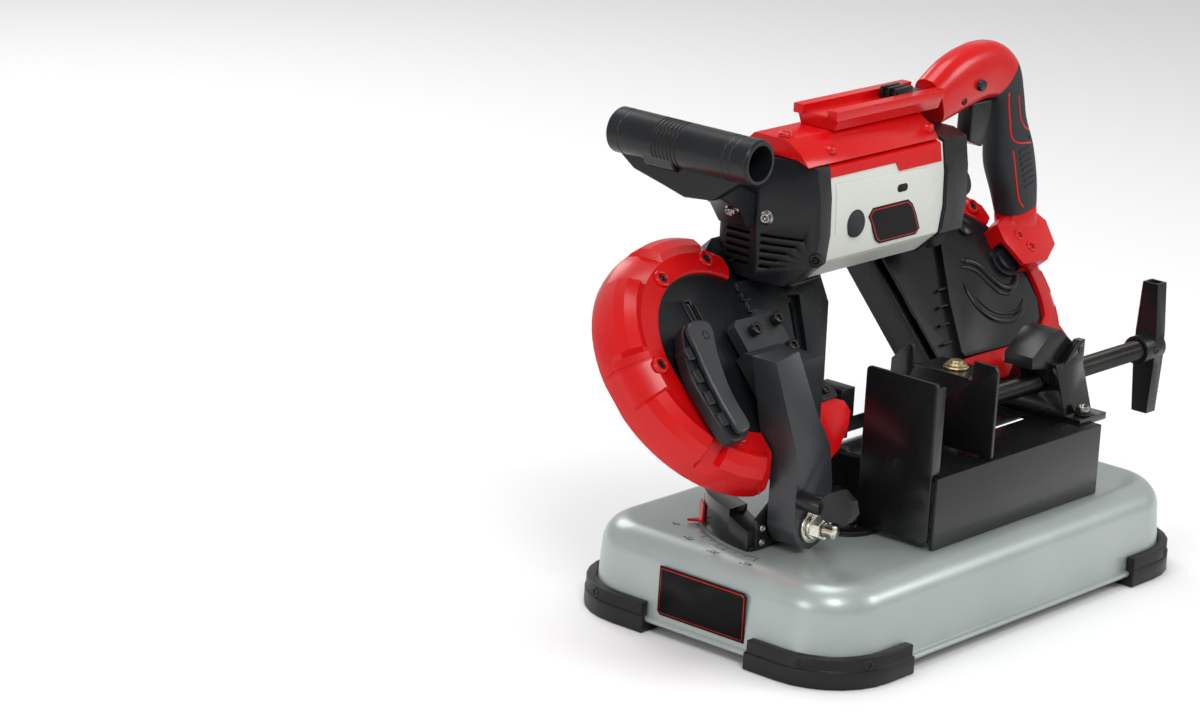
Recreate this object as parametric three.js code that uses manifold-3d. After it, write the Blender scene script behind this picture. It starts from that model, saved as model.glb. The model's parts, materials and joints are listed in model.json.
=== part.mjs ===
// Horizontal band saw: a cordless deep-cut band saw head on a bench stand,
// with a swivelling mitre table and a vice.
// Millimetres, +Z up. X runs along the long side of the base, Y across it; the vice side is -Y.
import * as THREE from 'three';
import { mergeVertices } from 'three/addons/utils/BufferGeometryUtils.js';
import Module from 'manifold-3d';

const wasm = await Module();
wasm.setup();

// ---------------------------------------------------------------- driving dimensions
const GAP = 0.35; // clearance kept between touching pieces
const BASE = { length: 500, width: 296, corner: 60, lipZ: 9, top: 79, roll: 24, wall: 2 };
const FOOT = { height: 25.5, straight: 34, outside: 5, inside: 20 };
const VICE = { left: -91, right: 144, front: -115, back: 0, top: 141.5, wall: 3.5, centreY: -57.5 };
const JAW_TOP = 222;
const FIXED_JAW_X = -95; // outer face of the fixed jaw plate
const MOVING_JAW_X = -15; // clamping face of the moving jaw
const SCREW = { radius: 9, z: 170, right: 284, handleX: 297, handleLength: 120 };
const SWIVEL = { x: -92, y: -22, scaleRadius: 118 };
const PIVOT = { x: -172, z: 103, radius: 6 };
const ARM = { front: -50, back: -22 };
const LEAN = THREE.MathUtils.degToRad(48); // the plane of the band wheels leans back by this much
const WHEEL = { leftX: -183, rightX: 150, y: 54.5, z: 215, radius: 75.2, width: 16 };
const BLADE = { width: 13, thickness: 0.8, cutY: 4, cutZ: 153 };
const MOTOR = { y: 60, z: 326, half: 44 };
const HANDLE_Y = 59;
const LEVER = { x: -225, v: 9 }; // pivot of the band tension lever, in the plane of the wheels
const HOUSING = 86; // outer radius of the black wheel housings
const BACK = -18; // rear face of the head casting, measured from the plane of the wheels
const GEAR = { wheel: 70, pinion: 17.6, x: 120, v: 83.2, motorH: 67.5 };
const TUBE = { x: -222, z: 406, near: -14, far: 134, radius: 19, bore: 14.5 };
// The middle of the whole machine seen from above, which is the origin of the finished part.
const CENTRE = { x: 3.75, y: 0 };

const COLOURS = {
  silver: [0xb4c5c0, 0.45, 0.35],
  black: [0x17191a, 0.5, 0.05],
  satin: [0x1b1d1e, 0.38, 0.3],
  rubber: [0x101112, 0.8, 0],
  red: [0xc40d10, 0.35, 0.05],
  shell: [0xdee2dc, 0.45, 0.1],
  grip: [0x303437, 0.75, 0],
  steel: [0xaab0b2, 0.35, 0.9],
  zinc: [0xcfc7a0, 0.35, 0.9],
  brass: [0xb08d45, 0.4, 0.9],
};
const materials = Object.fromEntries(
  Object.entries(COLOURS).map(([name, [color, roughness, metalness]]) => [
    name,
    new THREE.MeshStandardMaterial({ color, roughness, metalness }),
  ]),
);

// ---------------------------------------------------------------- solids
function solid(geometry) {
  const bare = geometry.clone();
  for (const name of ['normal', 'uv']) bare.deleteAttribute(name);
  const merged = mergeVertices(bare, 1e-4);
  const index = merged.index.array;
  return new wasm.Manifold(
    new wasm.Mesh({
      numProp: 3,
      vertProperties: new Float32Array(merged.attributes.position.array),
      triVerts: new Uint32Array(index),
    }),
  );
}

function geometryOf(manifold) {
  const mesh = manifold.getMesh();
  const geometry = new THREE.BufferGeometry();
  geometry.setAttribute('position', new THREE.BufferAttribute(new Float32Array(mesh.vertProperties), 3));
  geometry.setIndex(new THREE.BufferAttribute(new Uint32Array(mesh.triVerts), 1));
  return geometry;
}

const join = (...parts) => geometryOf(parts.map(solid).reduce((a, b) => a.add(b)));
const cut = (body, ...tools) => geometryOf(tools.map(solid).reduce((a, b) => a.subtract(b), solid(body)));
const common = (a, b) => geometryOf(solid(a).intersect(solid(b)));

function box(x0, x1, y0, y1, z0, z1) {
  const geometry = new THREE.BoxGeometry(x1 - x0, y1 - y0, z1 - z0);
  return geometry.translate((x0 + x1) / 2, (y0 + y1) / 2, (z0 + z1) / 2);
}

function outline(points) {
  return new THREE.Shape(points.map(([x, y]) => new THREE.Vector2(x, y)));
}

function roundedRect(x0, x1, y0, y1, r) {
  const shape = new THREE.Shape();
  shape.moveTo(x0 + r, y0);
  shape.lineTo(x1 - r, y0);
  shape.absarc(x1 - r, y0 + r, r, -Math.PI / 2, 0);
  shape.lineTo(x1, y1 - r);
  shape.absarc(x1 - r, y1 - r, r, 0, Math.PI / 2);
  shape.lineTo(x0 + r, y1);
  shape.absarc(x0 + r, y1 - r, r, Math.PI / 2, Math.PI);
  shape.lineTo(x0, y0 + r);
  shape.absarc(x0 + r, y0 + r, r, Math.PI, 1.5 * Math.PI);
  return shape;
}

function disc(x, y, r) {
  const shape = new THREE.Shape();
  shape.absarc(x, y, r, 0, 2 * Math.PI);
  return shape;
}

// Extrudes a flat outline from one height to another. The outline lies across X and Y.
function extrude(shape, z0, z1, curveSegments = 8) {
  const geometry = new THREE.ExtrudeGeometry(shape, { depth: z1 - z0, bevelEnabled: false, curveSegments });
  return geometry.translate(0, 0, z0);
}

// The same for an outline given as (y, z), extruded along X, and for one given as (x, z), extruded along Y.
const X = new THREE.Vector3(1, 0, 0);
const Y = new THREE.Vector3(0, 1, 0);
const Z = new THREE.Vector3(0, 0, 1);

function extrudeX(shape, x0, x1, curveSegments = 8) {
  const turn = new THREE.Matrix4().makeBasis(Y, Z, X);
  return extrude(shape, x0, x1, curveSegments).applyMatrix4(turn);
}

function extrudeY(shape, y0, y1, curveSegments = 8) {
  const turn = new THREE.Matrix4().makeBasis(X, Z, Y.clone().negate());
  return extrude(shape, -y1, -y0, curveSegments).applyMatrix4(turn);
}

function rod(axis, radius, from, to, a = 0, b = 0, sides = 20) {
  const geometry = new THREE.CylinderGeometry(radius, radius, to - from, sides);
  const middle = (from + to) / 2;
  if (axis === 'x') return geometry.rotateZ(Math.PI / 2).translate(middle, a, b);
  if (axis === 'y') return geometry.translate(a, middle, b);
  return geometry.rotateX(Math.PI / 2).translate(a, b, middle);
}

// A skin of rings with the same number of points, closed by a fan at each end.
function skin(rings) {
  const positions = [];
  const count = rings[0].length;
  for (const ring of rings) for (const p of ring) positions.push(...p);
  const index = [];
  for (let r = 0; r + 1 < rings.length; r++) {
    for (let i = 0; i < count; i++) {
      const a = r * count + i;
      const b = r * count + ((i + 1) % count);
      index.push(a, b, b + count, a, b + count, a + count);
    }
  }
  const capped = [[0, true], [rings.length - 1, false]];
  for (const [r, first] of capped) {
    for (const k of [0, 1, 2]) positions.push(rings[r].reduce((sum, p) => sum + p[k] / count, 0));
    const c = positions.length / 3 - 1;
    for (let i = 0; i < count; i++) {
      const a = r * count + i;
      const b = r * count + ((i + 1) % count);
      index.push(...(first ? [c, b, a] : [c, a, b]));
    }
  }
  const geometry = new THREE.BufferGeometry();
  geometry.setAttribute('position', new THREE.BufferAttribute(new Float32Array(positions), 3));
  geometry.setIndex(index);
  return geometry;
}

// ---------------------------------------------------------------- the scene graph
const machine = new THREE.Group();
machine.position.set(-CENTRE.x, -CENTRE.y, 0);
// The head leans with the band wheels: x, then up their plane, then out of it to the front.
const head = new THREE.Group();
head.position.set(0, WHEEL.y, WHEEL.z);
head.rotation.x = LEAN;
machine.add(head);

function add(name, material, geometry, parent = machine) {
  const mesh = new THREE.Mesh(geometry, materials[material]);
  mesh.name = name;
  parent.add(mesh);
  return mesh;
}

// Carries a geometry between the machine's frame and the leaning frame of the head.
head.updateMatrix();
const leaned = (geometry) => geometry.clone().applyMatrix4(head.matrix);
const unleaned = (geometry) => geometry.clone().applyMatrix4(head.matrix.clone().invert());

// ---------------------------------------------------------------- base and feet
function baseRing(inset, z, steps = 7) {
  const points = [];
  const r = Math.max(BASE.corner - inset, 1);
  const x = BASE.length / 2 - BASE.corner;
  const y = BASE.width / 2 - BASE.corner;
  for (const [sx, sy, start] of [[1, 1, 0], [-1, 1, 90], [-1, -1, 180], [1, -1, 270]]) {
    for (let i = 0; i <= steps; i++) {
      const a = THREE.MathUtils.degToRad(start + (90 * i) / steps);
      points.push([sx * x + r * Math.cos(a), sy * y + r * Math.sin(a), z]);
    }
  }
  return points;
}

function basePan() {
  const wallInset = 5;
  const flare = 3;
  const rings = [];
  const shoulder = BASE.top - BASE.roll;
  const roll = (offset) =>
    [0, 22.5, 45, 67.5, 90].map((deg) => {
      const a = THREE.MathUtils.degToRad(deg);
      const inset = wallInset + flare + BASE.roll - (BASE.roll - offset) * Math.cos(a);
      return [inset, shoulder + (BASE.roll - offset) * Math.sin(a)];
    });
  const inner = [...roll(BASE.wall).reverse(), [wallInset + BASE.wall, BASE.lipZ]];
  const outer = [
    [0, BASE.lipZ],
    [0, BASE.lipZ + 3],
    [wallInset, BASE.lipZ + 3.5],
    ...roll(0),
  ];
  for (const [inset, z] of [...inner, ...outer]) rings.push(baseRing(inset, z));
  return skin(rings);
}
add('base_pan', 'silver', basePan());

// The outline of a band that follows one corner of the base, at two distances inside its edge.
function cornerBand(sx, sy, outer, inner, straight, steps = 7) {
  const cx = BASE.length / 2 - BASE.corner;
  const cy = BASE.width / 2 - BASE.corner;
  const path = (inset) => {
    const r = BASE.corner - inset;
    const points = [[cx - straight, cy + r]];
    for (let i = 0; i <= steps; i++) {
      const a = Math.PI / 2 - (i * Math.PI) / 2 / steps;
      points.push([cx + r * Math.cos(a), cy + r * Math.sin(a)]);
    }
    points.push([cx + r, cy - straight]);
    return points;
  };
  const points = [...path(outer), ...path(inner).reverse()];
  return outline(points.map(([x, y]) => [sx * x, sy * y]));
}

const CORNERS = [['front_left', -1, -1], ['front_right', 1, -1], ['back_left', -1, 1], ['back_right', 1, 1]];
for (const [name, sx, sy] of CORNERS) {
  const s = FOOT.straight;
  const pad = extrude(cornerBand(sx, sy, -FOOT.outside, FOOT.inside, s), 0, BASE.lipZ - GAP);
  const skirt = extrude(cornerBand(sx, sy, -FOOT.outside, -GAP, s), 0, 15);
  const wall = cornerBand(sx, sy, 1 - FOOT.outside, 5 - GAP, s - 2);
  const band = extrude(wall, BASE.lipZ + 3.5 + GAP, FOOT.height);
  const inside = extrude(cornerBand(sx, sy, -GAP, 6, s), BASE.lipZ - GAP, BASE.lipZ + 3.5 + GAP);
  add(`foot_${name}`, 'rubber', cut(join(pad, skirt, band), inside));
}

// ---------------------------------------------------------------- vice
function viceChannel() {
  const { left, right, front, back, top, wall } = VICE;
  const z0 = BASE.top + GAP;
  const section = outline([
    [front, z0], [front + wall, z0], [front + wall, top - wall], [back - wall, top - wall],
    [back - wall, z0], [back, z0], [back, top], [front, top],
  ]);
  const slot = box(-72, 112, VICE.centreY - 4, VICE.centreY + 4, top - 10, top + 10);
  const hubSpace = rod('z', 35, 70, BASE.top + 5, SWIVEL.x, SWIVEL.y, 32);
  return cut(extrudeX(section, left, right), slot, hubSpace);
}
add('vice_channel', 'satin', viceChannel());

function fixedJaw() {
  const x = FIXED_JAW_X;
  const plate = extrudeX(roundedRect(-111, -38, 84, JAW_TOP, 4), x, x + 3.5, 3);
  const bent = outline([
    [-111, VICE.top + 2], [-107.5, VICE.top + 2], [-107.5, JAW_TOP - 4], [-111, JAW_TOP - 4],
  ]);
  const flange = extrudeX(bent, x + 3, x + 12);
  return join(plate, flange);
}
add('fixed_jaw', 'satin', fixedJaw());

function movingJaw() {
  const x = MOVING_JAW_X;
  const low = VICE.top + 1;
  const face = outline([
    [-113, low], [-3, low], [-3, 205], [-21, JAW_TOP], [-25, JAW_TOP - 1], [-26, 204], [-28, 204],
    [-28, 206], [-84, 206], [-85, 205], [-87, 205], [-88, JAW_TOP], [-110, JAW_TOP], [-113, JAW_TOP - 4],
  ]);
  const plate = extrudeX(face, x, x + 3.5);
  const tongue = box(x + 1, x + 36, -82, -30, 202.5, 206);
  const boss = rod('x', 14, x + 2, x + 24, VICE.centreY, SCREW.z);
  const seat = rod('x', SCREW.radius + 0.5, x + 8, x + 30, VICE.centreY, SCREW.z);
  const neck = box(x + 1, x + 26, VICE.centreY - 3.5, VICE.centreY + 3.5, VICE.top - 6, low + 6);
  const keeper = box(x - 6, x + 34, VICE.centreY - 13, VICE.centreY + 13, VICE.top - 10, VICE.top - 4);
  return cut(join(plate, tongue, boss, neck, keeper), seat);
}
add('moving_jaw', 'satin', movingJaw());
add('jaw_swivel_bolt', 'zinc', join(
  rod('z', 9, 206 + GAP, 210, MOVING_JAW_X + 18, VICE.centreY),
  rod('z', 6, 209, 212.5, MOVING_JAW_X + 18, VICE.centreY),
));
add('vice_screw', 'satin', rod('x', SCREW.radius, MOVING_JAW_X + 9, SCREW.right, VICE.centreY, SCREW.z));

function teeHandle() {
  const half = SCREW.handleLength / 2;
  const y = VICE.centreY;
  const bar = extrudeX(
    outline([
      [y - 8, SCREW.z - half], [y + 8, SCREW.z - half], [y + 11, SCREW.z - 14], [y + 11, SCREW.z + 14],
      [y + 8, SCREW.z + half], [y - 8, SCREW.z + half], [y - 11, SCREW.z + 14], [y - 11, SCREW.z - 14],
    ]),
    SCREW.handleX - 7,
    SCREW.handleX + 7,
  );
  const hub = rod('x', 13, SCREW.right - 8, SCREW.handleX + 8, y, SCREW.z);
  const bore = rod('x', SCREW.radius + GAP, SCREW.right - 20, SCREW.right + GAP, y, SCREW.z);
  return cut(join(bar, hub), bore);
}
add('tee_handle', 'black', teeHandle());

function screwBracket() {
  const y = VICE.centreY;
  const foot = VICE.top + GAP;
  const side = outline([
    [-108, foot], [-108, foot + 6], [-92, foot + 6], [y - 21, 190], [y + 21, 190],
    [-23, foot + 6], [-7, foot + 6], [-7, foot],
  ]);
  const body = extrudeX(side, 121, 160);
  const ears = [-1, 1].map((s) => extrudeY(
    outline([[121, 180], [160, 180], [160, 207], [152, 207]]),
    y + s * 19 - 3.5, y + s * 19 + 3.5,
  ));
  const saddle = box(110, 170, y - 15, y + 15, SCREW.z - 2, 230);
  const bore = rod('x', SCREW.radius + 0.5, 110, 170, y, SCREW.z);
  const hollow = box(125, 156, y - 20, y + 20, foot - 5, SCREW.z - 14);
  const pin = rod('y', 3.3, y - 40, y + 40, 154, 198, 12);
  return cut(join(body, ...ears), saddle, bore, hollow, pin);
}
add('screw_bracket', 'satin', screwBracket());
for (const [name, y] of [['front', -99.5], ['rear', -15.5]]) {
  add(`bracket_bolt_${name}`, 'steel', join(
    rod('z', 7, VICE.top + 6 + 2 * GAP, VICE.top + 8.5, 136, y, 16),
    rod('z', 5, VICE.top + 8, VICE.top + 12, 136, y, 12),
  ));
}
add('half_nut_pin', 'steel', rod('y', 3, VICE.centreY - 23, VICE.centreY + 23, 154, 198, 12));

function halfNut() {
  const y = VICE.centreY;
  const profile = outline([
    [121, SCREW.z + 2], [158, SCREW.z + 2], [158, 199], [150, 206], [132, 219],
    [118, 217], [94, 200], [94, 190], [118, 186],
  ]);
  const block = extrudeY(profile, y - 15 + GAP, y + 15 - GAP);
  const thread = rod('x', SCREW.radius + 0.5, 80, 170, y, SCREW.z);
  const pin = rod('y', 3.3, y - 40, y + 40, 154, 198, 12);
  return cut(block, thread, pin);
}
add('half_nut', 'black', halfNut());

// ---------------------------------------------------------------- mitre table
function sector(r0, r1, from, to, steps = 10) {
  const points = [];
  for (const [r, reverse] of [[r1, false], [r0, true]]) {
    for (let i = 0; i <= steps; i++) {
      const k = reverse ? steps - i : i;
      const a = THREE.MathUtils.degToRad(from + ((to - from) * k) / steps);
      points.push([SWIVEL.x + r * Math.cos(a), SWIVEL.y + r * Math.sin(a)]);
    }
  }
  return outline(points);
}

function turntable() {
  const z0 = BASE.top + GAP;
  const { x, y } = SWIVEL;
  const floor = join(
    extrude(sector(30, SWIVEL.scaleRadius - 2, 138, 178), z0, z0 + 4),
    extrude(disc(x, y, 34), z0, z0 + 4, 12),
  );
  const rim = extrude(sector(96, SWIVEL.scaleRadius, 138, 177), z0, 109);
  const slope = extrudeX(outline([[-40, 89], [8, 104], [8, 130], [-40, 130]]), -230, -150);
  const cheek = extrudeY(
    outline([[-203, z0], [-140, z0], [-140, 100], [-158, 116], [-184, 118], [-203, 105]]),
    ARM.back + 3, ARM.back + 7,
  );
  const bolt = rod('y', PIVOT.radius + GAP, -60, 0, PIVOT.x, PIVOT.z);
  const centre = rod('z', 8.4, 70, 100, x, y);
  const lock = extrude(sector(15.8, 24.2, 123, 192), z0 - 5, z0 + 20);
  return cut(join(cut(rim, slope), floor, cheek), bolt, centre, lock);
}
add('turntable', 'satin', turntable());
add('swivel_bolt', 'steel', join(
  rod('z', 8, BASE.top + GAP, BASE.top + 6, SWIVEL.x, SWIVEL.y, 16),
  rod('z', 13, BASE.top + 5, BASE.top + 8, SWIVEL.x, SWIVEL.y, 16),
));

function mitrePointer() {
  const r = SWIVEL.scaleRadius + GAP;
  const plate = box(r, r + 2, -8, 8, BASE.top + 2, 98);
  const finger = extrude(
    outline([[r, -7], [r + 4, -3], [r + 13, -0.6], [r + 13, 0.6], [r + 4, 3], [r, 7]]),
    BASE.top + 2, BASE.top + 4,
  );
  return join(plate, finger).rotateZ(THREE.MathUtils.degToRad(139)).translate(SWIVEL.x, SWIVEL.y, 0);
}
add('mitre_pointer', 'red', mitrePointer());

function lockKnob() {
  const lobes = [0, 1, 2, 3, 4].map((i) => {
    const a = (i * 2 * Math.PI) / 5;
    return rod('z', 4.5, 97, 114, 8 * Math.cos(a), 8 * Math.sin(a), 12);
  });
  const stem = join(rod('z', 6, 87, 97.5, 0, 0, 16), rod('z', 3.4, BASE.top + GAP, 88, 0, 0, 12));
  return join(rod('z', 9, 97, 114, 0, 0), stem, ...lobes).translate(SWIVEL.x - 20, SWIVEL.y, 0);
}
add('mitre_lock_knob', 'black', lockKnob());

// ---------------------------------------------------------------- pivot and arm
const pivotRod = (radius, from, to, sides = 20) => rod('y', radius, from, to, PIVOT.x, PIVOT.z, sides);
add('pivot_bolt', 'zinc', join(pivotRod(PIVOT.radius, -76, -13, 16), pivotRod(10, -13.5, -6, 6)));
add('pivot_washer', 'zinc', cut(
  pivotRod(14.5, ARM.front - 3, ARM.front - GAP, 24),
  pivotRod(PIVOT.radius + GAP, -80, 0, 16),
));
add('pivot_nut', 'zinc', cut(
  join(
    pivotRod(11, ARM.front - 6, ARM.front - 3 - GAP, 24),
    pivotRod(10, ARM.front - 15, ARM.front - 5.5, 6),
  ),
  pivotRod(PIVOT.radius + GAP, -80, 0, 16),
));

function capsule(x, r, stretch, steps = 16) {
  const points = [[x + stretch, r]];
  for (let i = 0; i <= steps; i++) {
    const a = Math.PI / 2 + (i * Math.PI) / steps;
    points.push([x + r * Math.cos(a), r * Math.sin(a)]);
  }
  points.push([x + stretch, -r]);
  return outline(points);
}

function sawArm() {
  const side = outline([
    [ARM.front, 70], [ARM.back, 70], [ARM.back, 139], [-14, 148],
    [-14, 166], [-6, 243], [-30, 247], [ARM.front, 172],
  ]);
  const face = outline([
    [-194, 103], [-191, 94], [-184, 86], [-172, 82], [-160, 85], [-151, 93], [-147, 104], [-147, 135],
    [-152, 165], [-165, 196], [-177, 247], [-207, 243], [-198, 172], [-194, 140],
  ]);
  const post = common(extrudeX(side, -240, -130), extrudeY(face, -80, 20));
  const neck = extrudeX(outline([[-28, 172], [-28, 236], [20, 235.4], [27, 227.5], [-7, 189.5]]), -186, -140);
  const plate = leaned(extrude(
    outline([[-179, -50], [-126, -50], [-124, 8], [-129, 20], [-174, 21], [-179, 16]]), 28.5, 39,
  ));
  const stud = rod('y', 3.4, -80, -38, -187, 128, 12);
  const housing = leaned(extrude(capsule(WHEEL.leftX, HOUSING + 1, 60), -60, 24 + 2 * GAP));
  return cut(join(post, neck, plate), pivotRod(PIVOT.radius + GAP, -80, 20, 16), stud, housing);
}
add('saw_arm', 'satin', sawArm());
// The space the arm takes up, with clearance, which the head's guards are cut away for.
const armSpace = unleaned(extrudeX(
  outline([[-52, 80], [-20, 80], [-12, 124], [-12, 166], [-4, 245], [-32, 249], [-52, 172]]), -200, -145,
));

function capScrew(x, v, h, radius, height) {
  const socket = rod('z', radius * 0.5, h + height - 3, h + height + 1, x, v, 6);
  return cut(rod('z', radius, h, h + height, x, v, 16), socket);
}
[[-131, 12], [-162, 8], [-131, -14]].forEach(([x, v], i) => {
  add(`arm_screw_${i + 1}`, 'steel', capScrew(x, v, 39 + GAP, 5.5, 7), head);
});

function wingKnob() {
  const stud = rod('y', 3, -60, -39, -187, 128, 12);
  const collar = rod('y', 8, -74, ARM.front - GAP, -187, 128, 20);
  const paddle = extrudeX(
    outline([
      [-73, 122], [-80, 118], [-100, 121], [-106, 130], [-103, 140], [-92, 147], [-80, 142], [-73, 134],
    ]),
    -192,
    -182,
  );
  return join(stud, collar, paddle);
}
add('wing_knob', 'black', wingKnob());

// ---------------------------------------------------------------- wheel housings
// Room for the band and both wheels inside the housings.
const runningSpace = [
  box(-170, 136, -88.5, -70, -14, 12),
  box(-200, 170, 67, 84, -12, 9.5),
  rod('z', 79.5, -12, 13, WHEEL.leftX, 0, 40),
  rod('z', 79.5, -12, 17.2, WHEEL.rightX, 0, 40),
];

function leftWheelCover() {
  const outer = extrude(capsule(WHEEL.leftX, HOUSING, 47.6), BACK + 6 + GAP, 24);
  const inner = extrude(capsule(WHEEL.leftX, HOUSING - 5, 60), BACK, 18);
  const slot = box(-170, 0, -100, -70, -30, 12);
  const tensionSlot = box(-203, -196, 26, 52, 21, 30);
  return cut(outer, inner, slot, tensionSlot);
}
add('left_wheel_cover', 'black', leftWheelCover(), head);

function bumperRing(x, profile, segments = 48) {
  const points = [...profile, profile[0]].map(([r, h]) => new THREE.Vector2(r, h));
  return new THREE.LatheGeometry(points, segments).rotateX(Math.PI / 2).translate(x, 0, 0);
}

function leftBumper() {
  const ring = bumperRing(WHEEL.leftX, [
    [HOUSING + GAP, BACK], [108, BACK], [114.5, -9], [114.5, 5], [108, 19], [96, 28], [74, 28],
    [74, 24 + GAP], [HOUSING + GAP, 24 + GAP],
  ]);
  const keep = extrude(outline([
    [-320, -130], [-199, -130], [-199, -40], [-199, 0], [-136, 60], [-136, 130], [-320, 130],
  ]), -40, 60);
  const housing = extrude(capsule(WHEEL.leftX, HOUSING + GAP, 60), -40, 24 + GAP);
  return cut(common(ring, keep), armSpace, housing);
}
add('left_bumper', 'red', leftBumper(), head);

function noseGuard() {
  const face = outline([
    [-141, -88.5], [-113, -62], [-96, -62], [-85, -67], [-84, -77], [-96, -89], [-121, -105], [-141, -113],
  ]);
  const bandGap = box(-200, 0, -88.5, -40, -40, 12);
  const housing = extrude(capsule(WHEEL.leftX, HOUSING + GAP, 48), -40, 24 + GAP);
  return cut(extrude(face, BACK, 26), bandGap, armSpace, housing);
}
add('left_nose_guard', 'red', noseGuard(), head);

function mainFrame() {
  const plate = [
    extrude(capsule(WHEEL.leftX, HOUSING, 60), BACK, BACK + 6),
    box(-134, 150, 64, 90, BACK, BACK + 6),
    rod('z', HOUSING, BACK, BACK + 6, WHEEL.rightX, 0, 40),
    box(60, 110, -58, 70, BACK, BACK + 6),
  ];
  const casting = extrude(outline([
    [-135, -60], [-101, -60], [-92, -44], [-37, 20], [-28, 48], [-28, 58], [-135, 58],
  ]), BACK, 24);
  const shoulder = extrude(
    outline([[-135, 50], [-28, 50], [-28, 90], [-60, 104], [-122, 104], [-135, 96]]), BACK, 15,
  );
  const spine = box(-60, 66, 62, 90, BACK, 16);
  const sideWall = box(60, 64, -58, 62, BACK, 12);
  return cut(join(...plate, casting, shoulder, spine, sideWall), ...runningSpace);
}
add('main_frame', 'black', mainFrame(), head);

// ---------------------------------------------------------------- right housing
function rightCover() {
  const cup = join(
    rod('z', HOUSING, BACK + 6 + GAP, 20, WHEEL.rightX, 0, 48),
    box(64 + GAP, 150, -60, 62 - GAP, BACK + 6 + GAP, 20),
  );
  const gearCase = extrude(outline([
    [139, 46], [109, -8], [88, -56], [90, -61], [150, -62], [192, -58], [211, -46], [222, -30], [224, -8],
    [222, 20], [214, 42], [196, 62], [172, 70], [150, 70],
  ]), 18, 26);
  const bearing = join(rod('z', 15, 25, 30, 203, 12, 20), rod('z', 11, 29, 34, 203, 12, 20));
  const inside = box(60, 140, -56, 58, BACK, 17.2);
  const bottom = box(0, 300, -100, -HOUSING + 2, -40, 60);
  const shaftHole = rod('z', GEAR.pinion + 3.4, 0, 60, GEAR.x, GEAR.v, 24);
  return cut(join(cup, gearCase, bearing), inside, bottom, shaftHole, ...runningSpace);
}
add('right_wheel_cover', 'black', rightCover(), head);

function rightBumper() {
  const ring = bumperRing(WHEEL.rightX, [
    [HOUSING + GAP, BACK], [108, BACK], [112, -8], [112, 4], [106, 20], [98, 24], [HOUSING + GAP, 24],
  ]);
  const lip = cut(
    extrude(outline([[86, -62.5], [200, -59.5], [232, -40], [240, -86], [82, -86]]), 20 + GAP, 24),
    extrude(outline([
      [60, -61.7], [90, -61.7], [150, -62.7], [192.2, -58.6], [211.5, -46.5], [222.7, -30], [240, 0], [60, 0],
    ]), 0, 60),
  );
  const keep = extrude(outline([
    [82, -140], [300, -140], [300, 12], [240, 40], [200, -20], [92, -61], [82, -66],
  ]), -60, 80);
  const flat = join(box(0, 166, -200, -88, -60, 60), box(0, 300, -200, -96, -60, 60));
  const bandGap = box(40, 136, -88.5, -70, -14, 12);
  return cut(common(join(ring, lip), keep), flat, bandGap, box(0, 400, -60, 62, -60, BACK + 0.1));
}
add('right_bumper', 'red', rightBumper(), head);

// ---------------------------------------------------------------- band, wheels and drive
function bandWheel(x, gear) {
  const rim = rod('z', WHEEL.radius - GAP, -8, 8, x, 0, 48);
  const dish = join(rod('z', 68, 3, 12, x, 0, 40), rod('z', 68, -12, -3, x, 0, 40));
  const hub = rod('z', 16, -9, 9, x, 0, 24);
  const lightening = [0, 1, 2, 3, 4].map((i) => {
    const a = (i * 2 * Math.PI) / 5;
    return rod('z', 13, -20, 20, x + 42 * Math.cos(a), 42 * Math.sin(a), 16);
  });
  const teeth = gear ? [rod('z', GEAR.wheel, 7.5, 15.5, x, 0, 48)] : [];
  const bore = rod('z', 8 + GAP, -40, 40, x, 0, 24);
  const recess = gear ? [rod('z', 60, 3, 40, x, 0, 40), dish] : [dish];
  return cut(join(cut(join(rim, ...teeth), ...recess), hub), ...lightening, bore);
}
add('idler_wheel', 'steel', bandWheel(WHEEL.leftX, false), head);
add('drive_wheel', 'steel', bandWheel(WHEEL.rightX, true), head);
const AXLES = [['idler_axle', WHEEL.leftX, 18 - GAP], ['drive_axle', WHEEL.rightX, 17.2 - GAP]];
for (const [name, x, top] of AXLES) {
  add(name, 'steel', rod('z', 8, BACK + 6 + GAP, top, x, 0, 24), head);
}

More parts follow.
